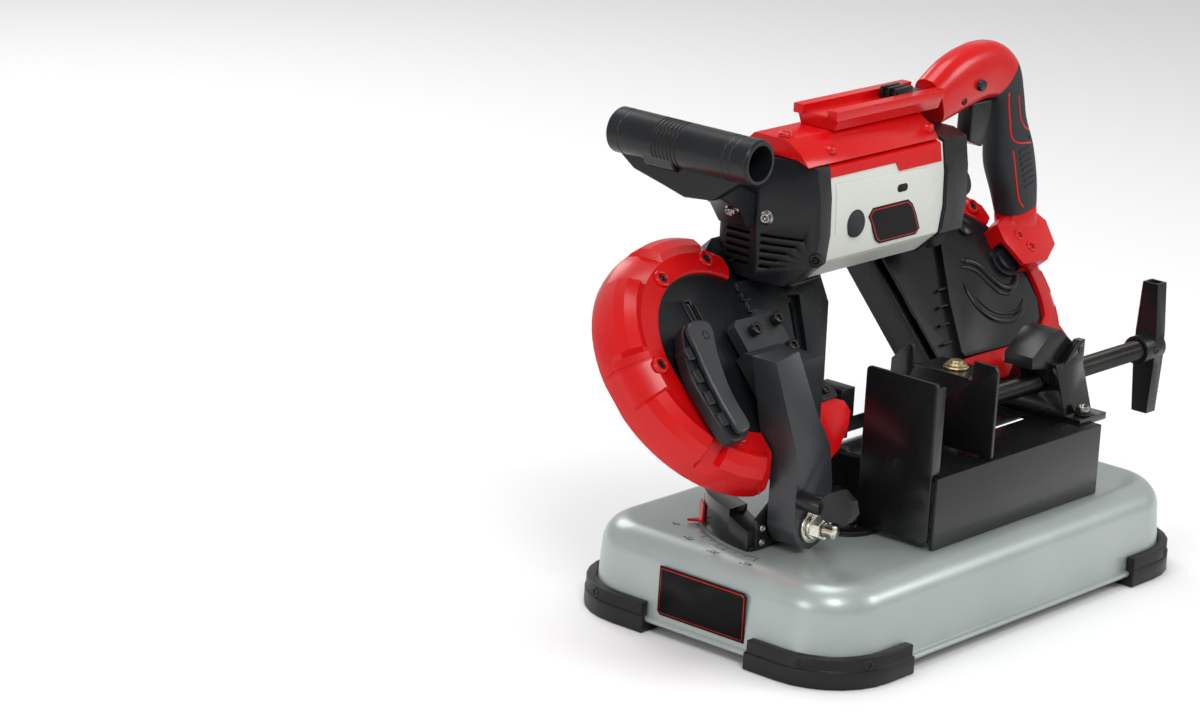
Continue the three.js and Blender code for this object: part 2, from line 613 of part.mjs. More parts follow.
function sawBlade() {
  const guideV = (BLADE.cutY - WHEEL.y) * Math.cos(LEAN) + (BLADE.cutZ - WHEEL.z) * Math.sin(LEAN);
  const guideH = -(BLADE.cutY - WHEEL.y) * Math.sin(LEAN) + (BLADE.cutZ - WHEEL.z) * Math.cos(LEAN);
  const radius = WHEEL.radius + BLADE.thickness / 2;
  const stations = [];
  const arc = (x, from, to) => {
    for (let i = 0; i <= 22; i++) {
      const a = THREE.MathUtils.degToRad(from + ((to - from) * i) / 22);
      stations.push([x + radius * Math.cos(a), radius * Math.sin(a), 0, a, 0]);
    }
  };
  arc(WHEEL.leftX, 270, 90);
  arc(WHEEL.rightX, 90, -90);
  const guides = [[WHEEL.rightX, 82], [-74, WHEEL.leftX]];
  for (const [from, to] of guides) {
    for (let i = from === WHEEL.rightX ? 1 : 0; i <= (from === WHEEL.rightX ? 6 : 5); i++) {
      const t = from === WHEEL.rightX ? i / 6 : 1 - i / 6;
      const x = from + ((to - from) * i) / 6;
      stations.push([x, -radius + t * (guideV + radius), t * guideH, -Math.PI / 2, t * LEAN]);
    }
  }
  const positions = [];
  for (const [x, v, h, a, twist] of stations) {
    const out = new THREE.Vector3(Math.cos(a), Math.sin(a), 0).applyAxisAngle(X, -twist);
    const across = new THREE.Vector3(0, 0, 1).applyAxisAngle(X, -twist);
    for (const [s, t] of [[-1, -1], [1, -1], [1, 1], [-1, 1]]) {
      const p = new THREE.Vector3(x, v, h);
      p.addScaledVector(across, (s * BLADE.width) / 2).addScaledVector(out, (t * BLADE.thickness) / 2);
      positions.push(p.x, p.y, p.z);
    }
  }
  const index = [];
  for (let i = 0; i < stations.length; i++) {
    const next = (i + 1) % stations.length;
    for (let k = 0; k < 4; k++) {
      const [a, b] = [i * 4 + k, i * 4 + ((k + 1) % 4)];
      const [c, d] = [next * 4 + ((k + 1) % 4), next * 4 + k];
      index.push(a, c, b, a, d, c);
    }
  }
  const geometry = new THREE.BufferGeometry();
  geometry.setAttribute('position', new THREE.BufferAttribute(new Float32Array(positions), 3));
  geometry.setIndex(index);
  return geometry;
}
add('saw_blade', 'steel', sawBlade(), head);

const shaft = (radius, from, to, sides = 20) => rod('z', radius, from, to, GEAR.x, GEAR.v, sides);
function cone(r0, r1, from, to, sides = 24) {
  const upright = new THREE.CylinderGeometry(r1, r0, to - from, sides).rotateX(Math.PI / 2);
  return upright.translate(0, 0, (from + to) / 2);
}
const bevel = (apex, near, far) => cone(apex - near - 0.5, apex - far - 0.5, near, far);
add('intermediate_gear', 'steel', join(
  shaft(GEAR.pinion, 9, 15.5, 24),
  shaft(5, 10, 57, 12),
  bevel(GEAR.motorH, 51, 57.5).translate(GEAR.x, GEAR.v, 0),
), head);
const motorLine = { v: GEAR.v, h: GEAR.motorH };
function motorRod(radius, from, to, sides = 24) {
  return rod('x', radius, from, to, motorLine.v, motorLine.h, sides);
}
add('motor_rotor', 'steel', join(
  motorRod(18, -45, 35, 28),
  motorRod(5, -90, 109, 12),
  bevel(GEAR.x, 103.5, 110).rotateY(Math.PI / 2).translate(0, motorLine.v, motorLine.h),
), head);

// ---------------------------------------------------------------- motor housing
function motorSection(grow = 0) {
  const points = [
    [42, 276], [20, 296], [17, 320], [18, 350], [22, 375], [36, 380],
    [84, 380], [97, 372], [102, 350], [102, 300], [86, 280],
  ];
  const k = 1 + grow / MOTOR.half;
  return outline(points.map(([y, z]) => [MOTOR.y + (y - MOTOR.y) * k, MOTOR.z + (z - MOTOR.z) * k]));
}
const spineSpace = leaned(box(-400, 400, -200, 200, -200, 20 + GAP));
const rotorSpace = leaned(motorRod(22, -66, 98.5, 28));
const shaftSpace = leaned(motorRod(6, -93, 100, 12));

const CASING_LEFT = -86;
add('motor_casing', 'shell', cut(
  extrudeX(motorSection(), CASING_LEFT, 70), spineSpace, leaned(motorRod(22, -90, 98.5, 28)),
));

function leftCollar() {
  const ring = extrudeX(motorSection(1.5), -123, CASING_LEFT - GAP);
  const bevelled = extrude(outline([[-140, 66], [-123, 66], [-100, 14], [-100, 0], [-140, 0]]), 200, 400);
  return cut(ring, bevelled, spineSpace, rotorSpace, shaftSpace, leaned(motorRod(22, -90, -60, 28)));
}
add('left_motor_collar', 'black', leftCollar());

function rightCollar() {
  const ring = extrudeX(motorSection(1.5), 70 + GAP, 102);
  const turret = leaned(cut(shaft(GEAR.pinion + 5, 20 + GAP, 86, 28), shaft(GEAR.pinion + 0.8, 0, 83, 28)));
  const meshSpace = leaned(motorRod(17.5, 90, 118, 24));
  return cut(join(cut(ring, spineSpace), turret), leaned(motorRod(22, 60, 98.5, 28)), meshSpace);
}
add('right_motor_collar', 'black', rightCollar());

function topCover() {
  const section = outline([
    [22, 370], [23, 378], [32, 389], [48, 398], [82, 398], [95, 386], [102, 374], [102, 366], [22, 366],
  ]);
  const inside = extrudeX(motorSection(1.5 + GAP), -130, 110);
  return cut(extrudeX(section, -112, 66), inside);
}
add('top_cover', 'red', topCover());

function batteryShoe() {
  const neck = extrudeX(outline([[42, 398 + GAP], [78, 398 + GAP], [82, 409], [38, 409]]), -56, 87);
  const rails = [36, 72].map((y) => box(-62, 87, y, y + 10, 408, 416));
  return join(neck, ...rails);
}
add('battery_shoe', 'red', batteryShoe());
const fingers = [50, 57, 64].map((y) => box(36, 60, y, y + 3, 412, 420));
add('contact_block', 'black', join(box(40, 74, 47, 71, 409 + GAP, 415), ...fingers));

// ---------------------------------------------------------------- handles
// The rear handle is one swept tube: [x, z, half width in the plane of the handle, half thickness, turn].
const HANDLE_PATH = [
  [97, 399, 22, 15, 20],
  [122, 409, 26, 16, 20],
  [148, 416, 27, 16, 12],
  [175, 418, 26, 16, -4],
  [196, 409, 23, 16, -45],
  [206, 390, 20, 16, -76],
  [212, 366, 21, 16, -76],
  [221, 336, 27, 17, -72],
  [233, 306, 24, 17, -72],
  [239, 284, 21, 16, -78],
  [244, 256, 22, 16, -80],
  [248, 226, 24, 16, -82],
];
// All that lies before one ring of the tube, so that the next piece starts just after it.
function upstream([x, z, , , degrees]) {
  const turn = THREE.MathUtils.degToRad(degrees);
  return box(-70, GAP, -60, 60, -90, 90).rotateY(-turn).translate(x, HANDLE_Y, z);
}
function handleTube(first, last, sides = 16) {
  const rings = HANDLE_PATH.slice(first, last + 1).map(([x, z, wide, thick, degrees]) => {
    const turn = THREE.MathUtils.degToRad(degrees);
    return Array.from({ length: sides }, (_, i) => {
      const a = ((i + 0.5) * 2 * Math.PI) / sides;
      const across = wide * Math.sign(Math.cos(a)) * Math.abs(Math.cos(a)) ** 0.8;
      const deep = thick * Math.sign(Math.sin(a)) * Math.abs(Math.sin(a)) ** 0.8;
      return [x - across * Math.sin(turn), HANDLE_Y + deep, z + across * Math.cos(turn)];
    });
  });
  return skin(rings.reverse());
}
const TRIGGER_SLOT = { y0: HANDLE_Y - 8, y1: HANDLE_Y + 8, x0: 150, x1: 180, top: 392, travel: 5 };

function triggerSpace() {
  const { x0, x1, y0, y1, top, travel } = TRIGGER_SLOT;
  return box(x0 - 1, x1 + travel + 1, y0 - 1, y1 + 1, 340, top + 1);
}

function handleBeam() {
  return cut(handleTube(0, 4), triggerSpace(), rod('y', 5 + GAP, 0, 120, 148, 410, 16));
}
add('rear_handle_beam', 'red', handleBeam());
add('handle_grip', 'grip', cut(handleTube(4, 9), upstream(HANDLE_PATH[4]), triggerSpace()));

function handleBase() {
  const pad = leaned(extrude(outline([
    [198, 26], [206, 0], [240, -2], [262, 10], [268, 34], [258, 48], [220, 50], [200, 42],
  ]), 20 + GAP, 44));
  const coverSpace = leaned(extrude(outline([
    [0, -100], [225, -100], [225, 22], [215, 43], [197, 63], [172, 72], [0, 72],
  ]), -60, 26 + GAP));
  const cupSpace = leaned(rod('z', 113, -60, 24 + GAP, WHEEL.rightX, 0, 48));
  const bearing = leaned(rod('z', 15 + GAP, 20, 40, 203, 12, 20));
  return cut(join(handleTube(9, 11), pad), coverSpace, cupSpace, bearing, upstream(HANDLE_PATH[9]));
}
add('rear_handle_base', 'red', handleBase());

function trigger() {
  const { x0, x1, y0, y1, top } = TRIGGER_SLOT;
  return extrudeY(outline([[x0, 358], [x0 + 20, 350], [x1, 372], [x1, top], [x0 + 1, top]]), y0, y1);
}
add('trigger', 'black', trigger());
add('lock_off_button', 'black', rod('y', 5, HANDLE_Y - 20, HANDLE_Y + 20, 148, 410, 16));

function auxHandle() {
  const tube = rod('y', TUBE.radius, TUBE.near, TUBE.far, TUBE.x, TUBE.z, 32);
  const bore = rod('y', TUBE.bore, TUBE.near - 5, TUBE.far + 5, TUBE.x, TUBE.z, 28);
  const bracket = extrudeY(outline([
    [-238, 398], [-210, 398], [-150, 362], [-123 - GAP, 350],
    [-123 - GAP, 322], [-133, 322], [-146, 340], [-232, 386],
  ]), 66, 98);
  const web = extrudeX(outline([[0, 392], [132, 392], [114, 377], [84, 370], [60, 364], [30, 367]]), -226, -214);
  return cut(join(tube, bracket, web), bore);
}
add('aux_handle', 'black', auxHandle());

// ---------------------------------------------------------------- guides, lever and small parts
add('left_guide_bracket', 'black', cut(
  unleaned(box(-84, -66, -6, 24, 161, 190)),
  extrude(outline([[-136, -62], [-100, -60.4], [-91.5, -44.3], [-36, 20.6], [-36, 90], [-136, 90]]), -60, 60),
  extrude(outline([[-142, -125], [-142, -61], [-96, -61], [-83, -66], [-82, -79], [-92, -93]]), -60, 60),
), head);
add('right_guide_bracket', 'black', cut(
  unleaned(box(64, 82 - GAP, -6, 24, 161, 190)),
  box(0, 300, -60 - GAP, 90, -60, 60),
), head);
for (const [side, x] of [['left', -75], ['right', 72]]) {
  for (const [place, y] of [['front', BLADE.cutY - 0.4 - GAP - 5], ['rear', BLADE.cutY + 0.4 + GAP + 5]]) {
    add(`${side}_${place}_guide_bearing`, 'steel', unleaned(rod('z', 5, 147, 161 - GAP, x, y, 16)), head);
  }
}

function tensionLever() {
  const body = extrude(outline([
    [-246, 20], [-238, 27], [-224, 28], [-214, 20], [-222, -2], [-228, -22], [-231, -45], [-230, -71],
    [-240, -78], [-256, -75], [-260, -50], [-261, -20], [-256, 2],
  ]), 31, 50);
  return join(body, rod('z', 12, 24 + GAP, 32, LEVER.x - 8, LEVER.v, 20));
}
add('tension_lever', 'black', tensionLever(), head);

export default machine;
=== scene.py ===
"""Horizontal band saw on its bench stand.

Finishes, detailed pieces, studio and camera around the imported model.
"""

import json
import math

import bmesh
import bpy
from mathutils import Matrix, Vector


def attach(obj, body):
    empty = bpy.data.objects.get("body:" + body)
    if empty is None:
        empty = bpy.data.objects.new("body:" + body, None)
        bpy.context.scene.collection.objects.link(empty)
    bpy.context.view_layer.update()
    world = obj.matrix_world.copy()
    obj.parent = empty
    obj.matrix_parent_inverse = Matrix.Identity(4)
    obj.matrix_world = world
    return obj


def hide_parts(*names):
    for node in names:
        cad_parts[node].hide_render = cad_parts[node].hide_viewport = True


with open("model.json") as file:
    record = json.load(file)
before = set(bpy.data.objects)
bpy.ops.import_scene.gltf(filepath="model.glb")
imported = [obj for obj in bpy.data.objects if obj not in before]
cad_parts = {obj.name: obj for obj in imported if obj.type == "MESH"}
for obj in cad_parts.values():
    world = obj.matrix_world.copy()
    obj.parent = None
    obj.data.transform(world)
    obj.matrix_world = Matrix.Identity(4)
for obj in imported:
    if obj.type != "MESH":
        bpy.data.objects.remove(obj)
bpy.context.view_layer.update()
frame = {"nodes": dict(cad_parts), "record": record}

# ---------------------------------------------------------------- driving dimensions, millimetres
CENTRE_X = 3.75  # the machine's own X zero sits this far from the part's origin
BASE = dict(length=500.0, width=296.0, corner=60.0, lip=9.0, top=79.0, roll=24.0, wall=2.0)
FOOT_SCREW_Z = 19.3
SWIVEL = (-92.0, -22.0)
MITRE_ZERO = 139.6  # direction of the scale's 0 mark from the swivel, in degrees
LEAN = math.radians(48)
WHEEL_Y = 54.5
WHEEL_Z = 215.0
LEFT_X = -183.0
RIGHT_X = 150.0
BACK = -18.0
SCREW_Z = 170.0
VICE_Y = -57.5
TUBE = dict(x=-222.0, z=406.0, near=-14.0, far=134.0, radius=19.0, bore=14.5)
PIVOT = (-172.0, 103.0)


def at(x, y, z):
    """A point of the machine, in millimetres, as the row frame has it, in metres."""
    return Vector((x - CENTRE_X, y, z)) / 1000


STAND = Matrix.Translation(at(0, 0, 0)) @ Matrix.Scale(0.001, 4)
HEAD = Matrix.Translation(at(0, WHEEL_Y, WHEEL_Z)) @ Matrix.Rotation(LEAN, 4, "X") @ Matrix.Scale(0.001, 4)


# X and Y of an outline become X and Z.
UPRIGHT = Matrix(((1, 0, 0, 0), (0, 0, -1, 0), (0, 1, 0, 0), (0, 0, 0, 1)))
# X and Y of an outline become Y and Z.
CROSSWISE = Matrix(((0, 0, 1, 0), (1, 0, 0, 0), (0, 1, 0, 0), (0, 0, 0, 1)))
# A lathe's axis turns to +Y.
ALONG_Y = Matrix(((1, 0, 0, 0), (0, 0, 1, 0), (0, -1, 0, 0), (0, 0, 0, 1)))


# ---------------------------------------------------------------- materials
COAT_ROUGHNESS = 0.12
GRAIN_DEPTH = 0.0002  # metres
PATCH_SCALE = 9.0  # how closely the drift in colour repeats


def new_material(name, colour, roughness, metallic=0.0, coat=0.0, specular=0.5):
    material = bpy.data.materials.new(name)
    material.use_nodes = True
    shader = material.node_tree.nodes["Principled BSDF"]
    shader.inputs["Base Color"].default_value = (*colour, 1)
    shader.inputs["Roughness"].default_value = roughness
    shader.inputs["Metallic"].default_value = metallic
    shader.inputs["Coat Weight"].default_value = coat
    shader.inputs["Coat Roughness"].default_value = COAT_ROUGHNESS
    shader.inputs["Specular IOR Level"].default_value = specular
    return material


def add_noise(material, scale, detail=3.0):
    nodes = material.node_tree.nodes
    links = material.node_tree.links
    place = nodes.new("ShaderNodeTexCoord")
    noise = nodes.new("ShaderNodeTexNoise")
    noise.inputs["Scale"].default_value = scale
    noise.inputs["Detail"].default_value = detail
    links.new(place.outputs["Object"], noise.inputs["Vector"])
    return noise


def vary_colour(material, noise, dark, light):
    ramp = material.node_tree.nodes.new("ShaderNodeValToRGB")
    ramp.color_ramp.elements[0].position = 0.3
    ramp.color_ramp.elements[0].color = (*dark, 1)
    ramp.color_ramp.elements[1].position = 0.7
    ramp.color_ramp.elements[1].color = (*light, 1)
    shader = material.node_tree.nodes["Principled BSDF"]
    material.node_tree.links.new(noise.outputs["Fac"], ramp.inputs["Fac"])
    material.node_tree.links.new(ramp.outputs["Color"], shader.inputs["Base Color"])


def vary_roughness(material, noise, low, high):
    spread = material.node_tree.nodes.new("ShaderNodeMapRange")
    spread.inputs["To Min"].default_value = low
    spread.inputs["To Max"].default_value = high
    shader = material.node_tree.nodes["Principled BSDF"]
    material.node_tree.links.new(noise.outputs["Fac"], spread.inputs["Value"])
    material.node_tree.links.new(spread.outputs["Result"], shader.inputs["Roughness"])


def add_bump(material, noise, strength):
    bump = material.node_tree.nodes.new("ShaderNodeBump")
    bump.inputs["Strength"].default_value = strength
    bump.inputs["Distance"].default_value = GRAIN_DEPTH
    shader = material.node_tree.nodes["Principled BSDF"]
    material.node_tree.links.new(noise.outputs["Fac"], bump.inputs["Height"])
    material.node_tree.links.new(bump.outputs["Normal"], shader.inputs["Normal"])


def finish(name, dark, light, roughness, grain, strength, metallic=0.0, coat=0.0, specular=0.5):
    """A finish whose colour and gloss drift a little over the surface, with a fine grain in its relief."""
    material = new_material(name, light, sum(roughness) / 2, metallic, coat, specular)
    drift = add_noise(material, PATCH_SCALE)
    vary_colour(material, drift, dark, light)
    vary_roughness(material, add_noise(material, PATCH_SCALE * 4), *roughness)
    add_bump(material, add_noise(material, grain, 2.0), strength)
    return material


MATERIALS = dict(
    silver=finish(
        "silver_paint", (0.33, 0.375, 0.365), (0.39, 0.435, 0.42), (0.28, 0.40),
        900, 0.06, metallic=0.35, coat=0.25,
    ),
    satin=finish(
        "satin_black_paint", (0.005, 0.005, 0.006), (0.009, 0.009, 0.010), (0.20, 0.32),
        700, 0.10, coat=0.15, specular=0.3,
    ),
    hammered=finish(
        "hammered_black", (0.004, 0.004, 0.005), (0.008, 0.008, 0.009), (0.12, 0.22),
        260, 0.9, coat=0.3,
    ),
    black=finish(
        "black_plastic", (0.006, 0.0065, 0.0075), (0.011, 0.012, 0.014), (0.24, 0.36),
        1500, 0.25, specular=0.32,
    ),
    casting=finish(
        "black_casting", (0.006, 0.007, 0.008), (0.012, 0.013, 0.015), (0.22, 0.34),
        1100, 0.30, specular=0.32,
    ),
    arm=finish("arm_coating", (0.016, 0.018, 0.020), (0.026, 0.029, 0.032), (0.30, 0.40), 1300, 0.30),
    # The lever's top face: its black plastic made lighter grey, a painted highlight for the satin sheen that
    # face catches.
    lever=finish("lever_face_painted_highlight", (0.022, 0.024, 0.026), (0.034, 0.037, 0.040), (0.26, 0.34), 1300, 0.2),
    red=finish(
        "red_plastic", (0.52, 0.002, 0.003), (0.62, 0.004, 0.005), (0.20, 0.30),
        1500, 0.16, coat=0.08, specular=0.3,
    ),
    pale=finish("pale_plastic", (0.60, 0.62, 0.57), (0.66, 0.68, 0.63), (0.34, 0.44), 1500, 0.12),
    rubber=finish(
        "foot_rubber", (0.006, 0.006, 0.006), (0.011, 0.011, 0.011), (0.34, 0.50),
        900, 0.25, specular=0.3,
    ),
    grip=finish(
        "soft_grip", (0.016, 0.018, 0.021), (0.026, 0.028, 0.032), (0.50, 0.64),
        1700, 0.5, specular=0.3,
    ),
    zinc=finish(
        "zinc_plate", (0.60, 0.58, 0.47), (0.72, 0.71, 0.62), (0.16, 0.30),
        1200, 0.08, metallic=1.0,
    ),
    brass=finish(
        "brass_plate", (0.42, 0.33, 0.16), (0.55, 0.46, 0.26), (0.26, 0.40),
        1200, 0.1, metallic=1.0,
    ),
    steel=finish(
        "bare_steel", (0.36, 0.36, 0.37), (0.50, 0.50, 0.51), (0.22, 0.36),
        1200, 0.12, metallic=1.0,
    ),
    blackened=finish(
        "blackened_steel", (0.02, 0.02, 0.02), (0.045, 0.044, 0.042), (0.22, 0.32),
        1200, 0.12, metallic=0.8,
    ),
    aluminium=finish(
        "turned_aluminium", (0.48, 0.49, 0.5), (0.6, 0.6, 0.61), (0.25, 0.4),
        900, 0.1, metallic=1.0,
    ),
    # Near-black and rough: painted shade standing in for the inside of a slot.
    slot_shade=finish("painted_slot_shade", (0.002, 0.002, 0.002), (0.004, 0.004, 0.004), (0.8, 0.95), 800, 0.1),
    screw=finish(
        "screw_steel", (0.24, 0.235, 0.22), (0.38, 0.37, 0.35), (0.20, 0.32),
        1200, 0.1, metallic=1.0,
    ),
    label=finish(
        "label_black", (0.005, 0.005, 0.005), (0.007, 0.007, 0.007), (0.42, 0.5),
        600, 0.02, specular=0.12,
    ),
    ink=finish("scale_ink", (0.03, 0.035, 0.035), (0.05, 0.055, 0.055), (0.5, 0.6), 800, 0.05),
)
NODE_FINISH = dict(
    silver="base_pan",
    rubber="foot_front_left foot_front_right foot_back_left foot_back_right",
    satin="vice_channel fixed_jaw moving_jaw turntable",
    hammered="screw_bracket",
    arm="saw_arm",
    blackened=(
        "vice_screw arm_screw_1 arm_screw_2 arm_screw_3 bracket_bolt_front bracket_bolt_rear "
        "half_nut_pin"
    ),
    black=(
        "half_nut tee_handle mitre_lock_knob wing_knob left_wheel_cover right_wheel_cover "
        "left_guide_bracket right_guide_bracket tension_lever left_motor_collar "
        "right_motor_collar aux_handle trigger lock_off_button contact_block"
    ),
    casting="main_frame",
    red=(
        "mitre_pointer left_bumper left_nose_guard right_bumper top_cover battery_shoe "
        "rear_handle_beam rear_handle_base"
    ),
    pale="motor_casing",
    grip="handle_grip",
    zinc="pivot_bolt pivot_washer pivot_nut",
    brass="jaw_swivel_bolt",
    steel=(
        "swivel_bolt idler_axle drive_axle intermediate_gear motor_rotor saw_blade "
        "left_front_guide_bearing left_rear_guide_bearing right_front_guide_bearing "
        "right_rear_guide_bearing"
    ),
    aluminium="idler_wheel drive_wheel",
)
BODY_OF = {node: body for body, nodes in frame["record"]["behaviour"]["bodies"].items() for node in nodes}
FINISH_OF = {node: name for name, nodes in NODE_FINISH.items() for node in nodes.split()}


# ---------------------------------------------------------------- mesh helpers
MERGE_DISTANCE = 2e-5  # metres
FLAT_ANGLE = math.radians(1.2)


def give(obj, material):
    obj.data.materials.clear()
    obj.data.materials.append(MATERIALS[material])
    for face in getattr(obj.data, "polygons", []):
        face.material_index = 0


def soften(obj, width=0.8, segments=2, angle=28):
    """Rounds the sharp edges, as moulding and casting do, and shades what is left smooth."""
    bevel = obj.modifiers.new("edges", "BEVEL")
    bevel.width = width / 1000
    bevel.segments = segments
    bevel.limit_method = "ANGLE"
    bevel.angle_limit = math.radians(angle)
    bevel.harden_normals = True
    obj.data.shade_smooth()
    return obj


def tidy_mesh(bm):
    """Merges points that meet, and turns triangles of one plane into whole faces."""
    bmesh.ops.remove_doubles(bm, verts=bm.verts, dist=MERGE_DISTANCE)
    bmesh.ops.dissolve_limit(bm, angle_limit=FLAT_ANGLE, verts=bm.verts, edges=bm.edges)
    bmesh.ops.recalc_face_normals(bm, faces=bm.faces)


def placed_mesh(name, bm, matrix):
    """The shape as a mesh of the row frame, facing out even when the matrix mirrors it."""
    bm.transform(matrix)
    if matrix.determinant() < 0:
        bmesh.ops.reverse_faces(bm, faces=bm.faces)
    mesh = bpy.data.meshes.new(name)
    bm.to_mesh(mesh)
    bm.free()
    return mesh


def finished(name, bm, material, body, matrix=STAND, replaces=()):
    mesh = placed_mesh(name, bm, matrix)
    obj = bpy.data.objects.new(name, mesh)
    bpy.context.scene.collection.objects.link(obj)
    give(obj, material)
    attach(obj, body)
    if replaces:
        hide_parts(*replaces)
    mesh.shade_smooth()
    return obj


def copied(node):
    """A piece of its own with a CAD node's shape, in n-gons, ready for cuts and rounded edges."""
    bm = bmesh.new()
    bm.from_mesh(frame["nodes"][node].data)
    tidy_mesh(bm)
    return finished(f"{node}_form", bm, FINISH_OF[node], BODY_OF[node], Matrix.Identity(4), [node])


def prism(points, lo, hi, bm=None):
    """An outline in X and Y between two heights."""
    bm = bm or bmesh.new()
    lower = [bm.verts.new((x, y, lo)) for x, y in points]
    upper = [bm.verts.new((x, y, hi)) for x, y in points]
    faces = [bm.faces.new(lower), bm.faces.new(upper)]
    for i in range(len(points)):
        j = (i + 1) % len(points)
        faces.append(bm.faces.new((lower[i], lower[j], upper[j], upper[i])))
    bmesh.ops.recalc_face_normals(bm, faces=faces)
    return bm


def skin(rings, loop=False, bm=None):
    """A surface through rings of equal length, with its ends closed unless it loops round."""
    bm = bm or bmesh.new()
    rows = [[bm.verts.new(p) for p in ring] for ring in rings]
    pairs = list(zip(rows, rows[1:])) + ([(rows[-1], rows[0])] if loop else [])
    faces = []
    for a, b in pairs:
        for i in range(len(a)):
            j = (i + 1) % len(a)
            faces.append(bm.faces.new((a[i], a[j], b[j], b[i])))
    if not loop:
        faces += [bm.faces.new(rows[0]), bm.faces.new(rows[-1])]
    bmesh.ops.recalc_face_normals(bm, faces=faces)
    return bm


def circle(radius, height, sides, centre=(0, 0)):
    """The points of a level circle."""
    turns = [2 * math.pi * i / sides for i in range(sides)]
    return [(centre[0] + radius * math.cos(a), centre[1] + radius * math.sin(a), height) for a in turns]


def lathe(profile, segments=64, start=0.0, turn=360.0):
    """A profile of (radius, height) turned about a vertical axis."""
    full = abs(turn) >= 360
    rings = []
    for i in range(segments if full else segments + 1):
        a = math.radians(start + turn * i / segments)
        rings.append([(r * math.cos(a), r * math.sin(a), h) for r, h in profile])
    return skin(rings, loop=full)


def disc(radius, lo, hi, chamfer=0.6, sides=32, centre=(0, 0)):
    """A turned disc with chamfered rims."""
    profile = [(radius - chamfer, lo), (radius, lo + chamfer), (radius, hi - chamfer), (radius - chamfer, hi)]
    return skin([circle(r, h, sides, centre) for r, h in profile])


def axes(origin, z_axis, x_axis=(1, 0, 0)):
    """A frame, in millimetres of the machine, whose Z runs along z_axis from origin."""
    z = Vector(z_axis).normalized()
    x = Vector(x_axis)
    x = (x - z * x.dot(z)).normalized()
    y = z.cross(x)
    turn = Matrix((x, y, z)).transposed().to_4x4()
    return Matrix.Translation(Vector(origin)) @ turn


def socket_screw(name, matrix, body, radius=5.0, height=6.0, material="blackened"):
    """A cap screw with a hexagon socket, its head's seat at the frame's origin."""
    sides = 24
    rim = radius * 0.55
    profile = [(radius, 0), (radius, height - 0.7), (radius - 0.7, height), (rim + 0.2, height)]
    rings = [circle(r, h, sides) for r, h in profile]
    hexagon = []
    for i in range(sides):
        a = 2 * math.pi * i / sides
        edge = rim * math.cos(math.pi / 6) / math.cos((a + math.pi / 6) % (math.pi / 3) - math.pi / 6)
        hexagon.append((edge * math.cos(a), edge * math.sin(a)))
    rings += [[(x, y, level) for x, y in hexagon] for level in (height - 0.4, height - 3)]
    return finished(name, skin(rings), material, body, matrix)


def boss_screw(name, matrix, body, radius=6.5, height=3.0, boss="red"):
    """A moulded boss with a countersunk screw set down in it."""
    profile = [(radius + 1.2, -1), (radius, height - 0.8), (radius - 0.8, height), (radius * 0.62, height)]
    profile += [(radius * 0.58, height - 0.4), (radius * 0.58, height - 2.6)]
    finished(name, skin([circle(r, h, 28) for r, h in profile]), boss, body, matrix)
    head = Matrix.Translation((0, 0, height - 2.55))
    return socket_screw(name + "_screw", matrix @ head, body, radius * 0.5, 1.6)


def carve(obj, *tools):
    """Cuts the tools' shapes out of a piece, and removes the tools."""
    for tool in tools:
        cut = obj.modifiers.new("cut", "BOOLEAN")
        cut.operation = "DIFFERENCE"
        cut.solver = "EXACT"
        cut.object = tool
    bpy.context.view_layer.update()
    shaped = obj.evaluated_get(bpy.context.evaluated_depsgraph_get())
    mesh = bpy.data.meshes.new_from_object(shaped)
    obj.modifiers.clear()
    obj.data = mesh
    for tool in tools:
        bpy.data.objects.remove(tool)
    bm = bmesh.new()
    bm.from_mesh(mesh)
    tidy_mesh(bm)
    bm.to_mesh(mesh)
    bm.free()
    mesh.shade_smooth()
    return obj


def cutter(bm, matrix=STAND):
    """A tool for carve, which isn't a piece."""
    obj = bpy.data.objects.new("cutter", placed_mesh("cutter", bm, matrix))
    bpy.context.scene.collection.objects.link(obj)
    return obj


def rounded_box(x0, x1, y0, y1, z0, z1, r=2.0, steps=4):
    """A block whose upright edges are rounded."""
    corners = ((x1 - r, y1 - r, 0), (x0 + r, y1 - r, 90), (x0 + r, y0 + r, 180), (x1 - r, y0 + r, 270))
    points = []
    for cx, cy, start in corners:
        for i in range(steps + 1):
            a = math.radians(start + 90 * i / steps)
            points.append((cx + r * math.cos(a), cy + r * math.sin(a)))
    return prism(points, z0, z1)


# ---------------------------------------------------------------- base and feet
def base_ring(inset, z, steps=16):
    """One level of the pan: a rectangle with round corners."""
    radius = max(BASE["corner"] - inset, 1)
    x = BASE["length"] / 2 - BASE["corner"]
    y = BASE["width"] / 2 - BASE["corner"]
    ring = []
    for sx, sy, start in ((1, 1, 0), (-1, 1, 90), (-1, -1, 180), (1, -1, 270)):
        for i in range(steps + 1):
            a = math.radians(start + 90 * i / steps)
            ring.append((sx * x + radius * math.cos(a), sy * y + radius * math.sin(a), z))
    return ring


def base_pan():
    wall_inset = 5
    flare = 3
    shoulder = BASE["top"] - BASE["roll"]

    def roll(offset):
        levels = []
        for i in range(13):
            a = math.radians(90 * i / 12)
            reach = BASE["roll"] - offset
            inset = wall_inset + flare + BASE["roll"] - reach * math.cos(a)
            levels.append((inset, shoulder + reach * math.sin(a)))
        return levels

    lip = BASE["lip"]
    inner = list(reversed(roll(BASE["wall"]))) + [(wall_inset + BASE["wall"], lip)]
    outer = [(0, lip), (0, lip + 3), (wall_inset - 0.6, lip + 3.5), (wall_inset, lip + 4.4)] + roll(0)
    rings = [base_ring(inset, z) for inset, z in inner + outer]
    pan = finished("base_pan_form", skin(rings), "silver", "bench", STAND, ["base_pan"])


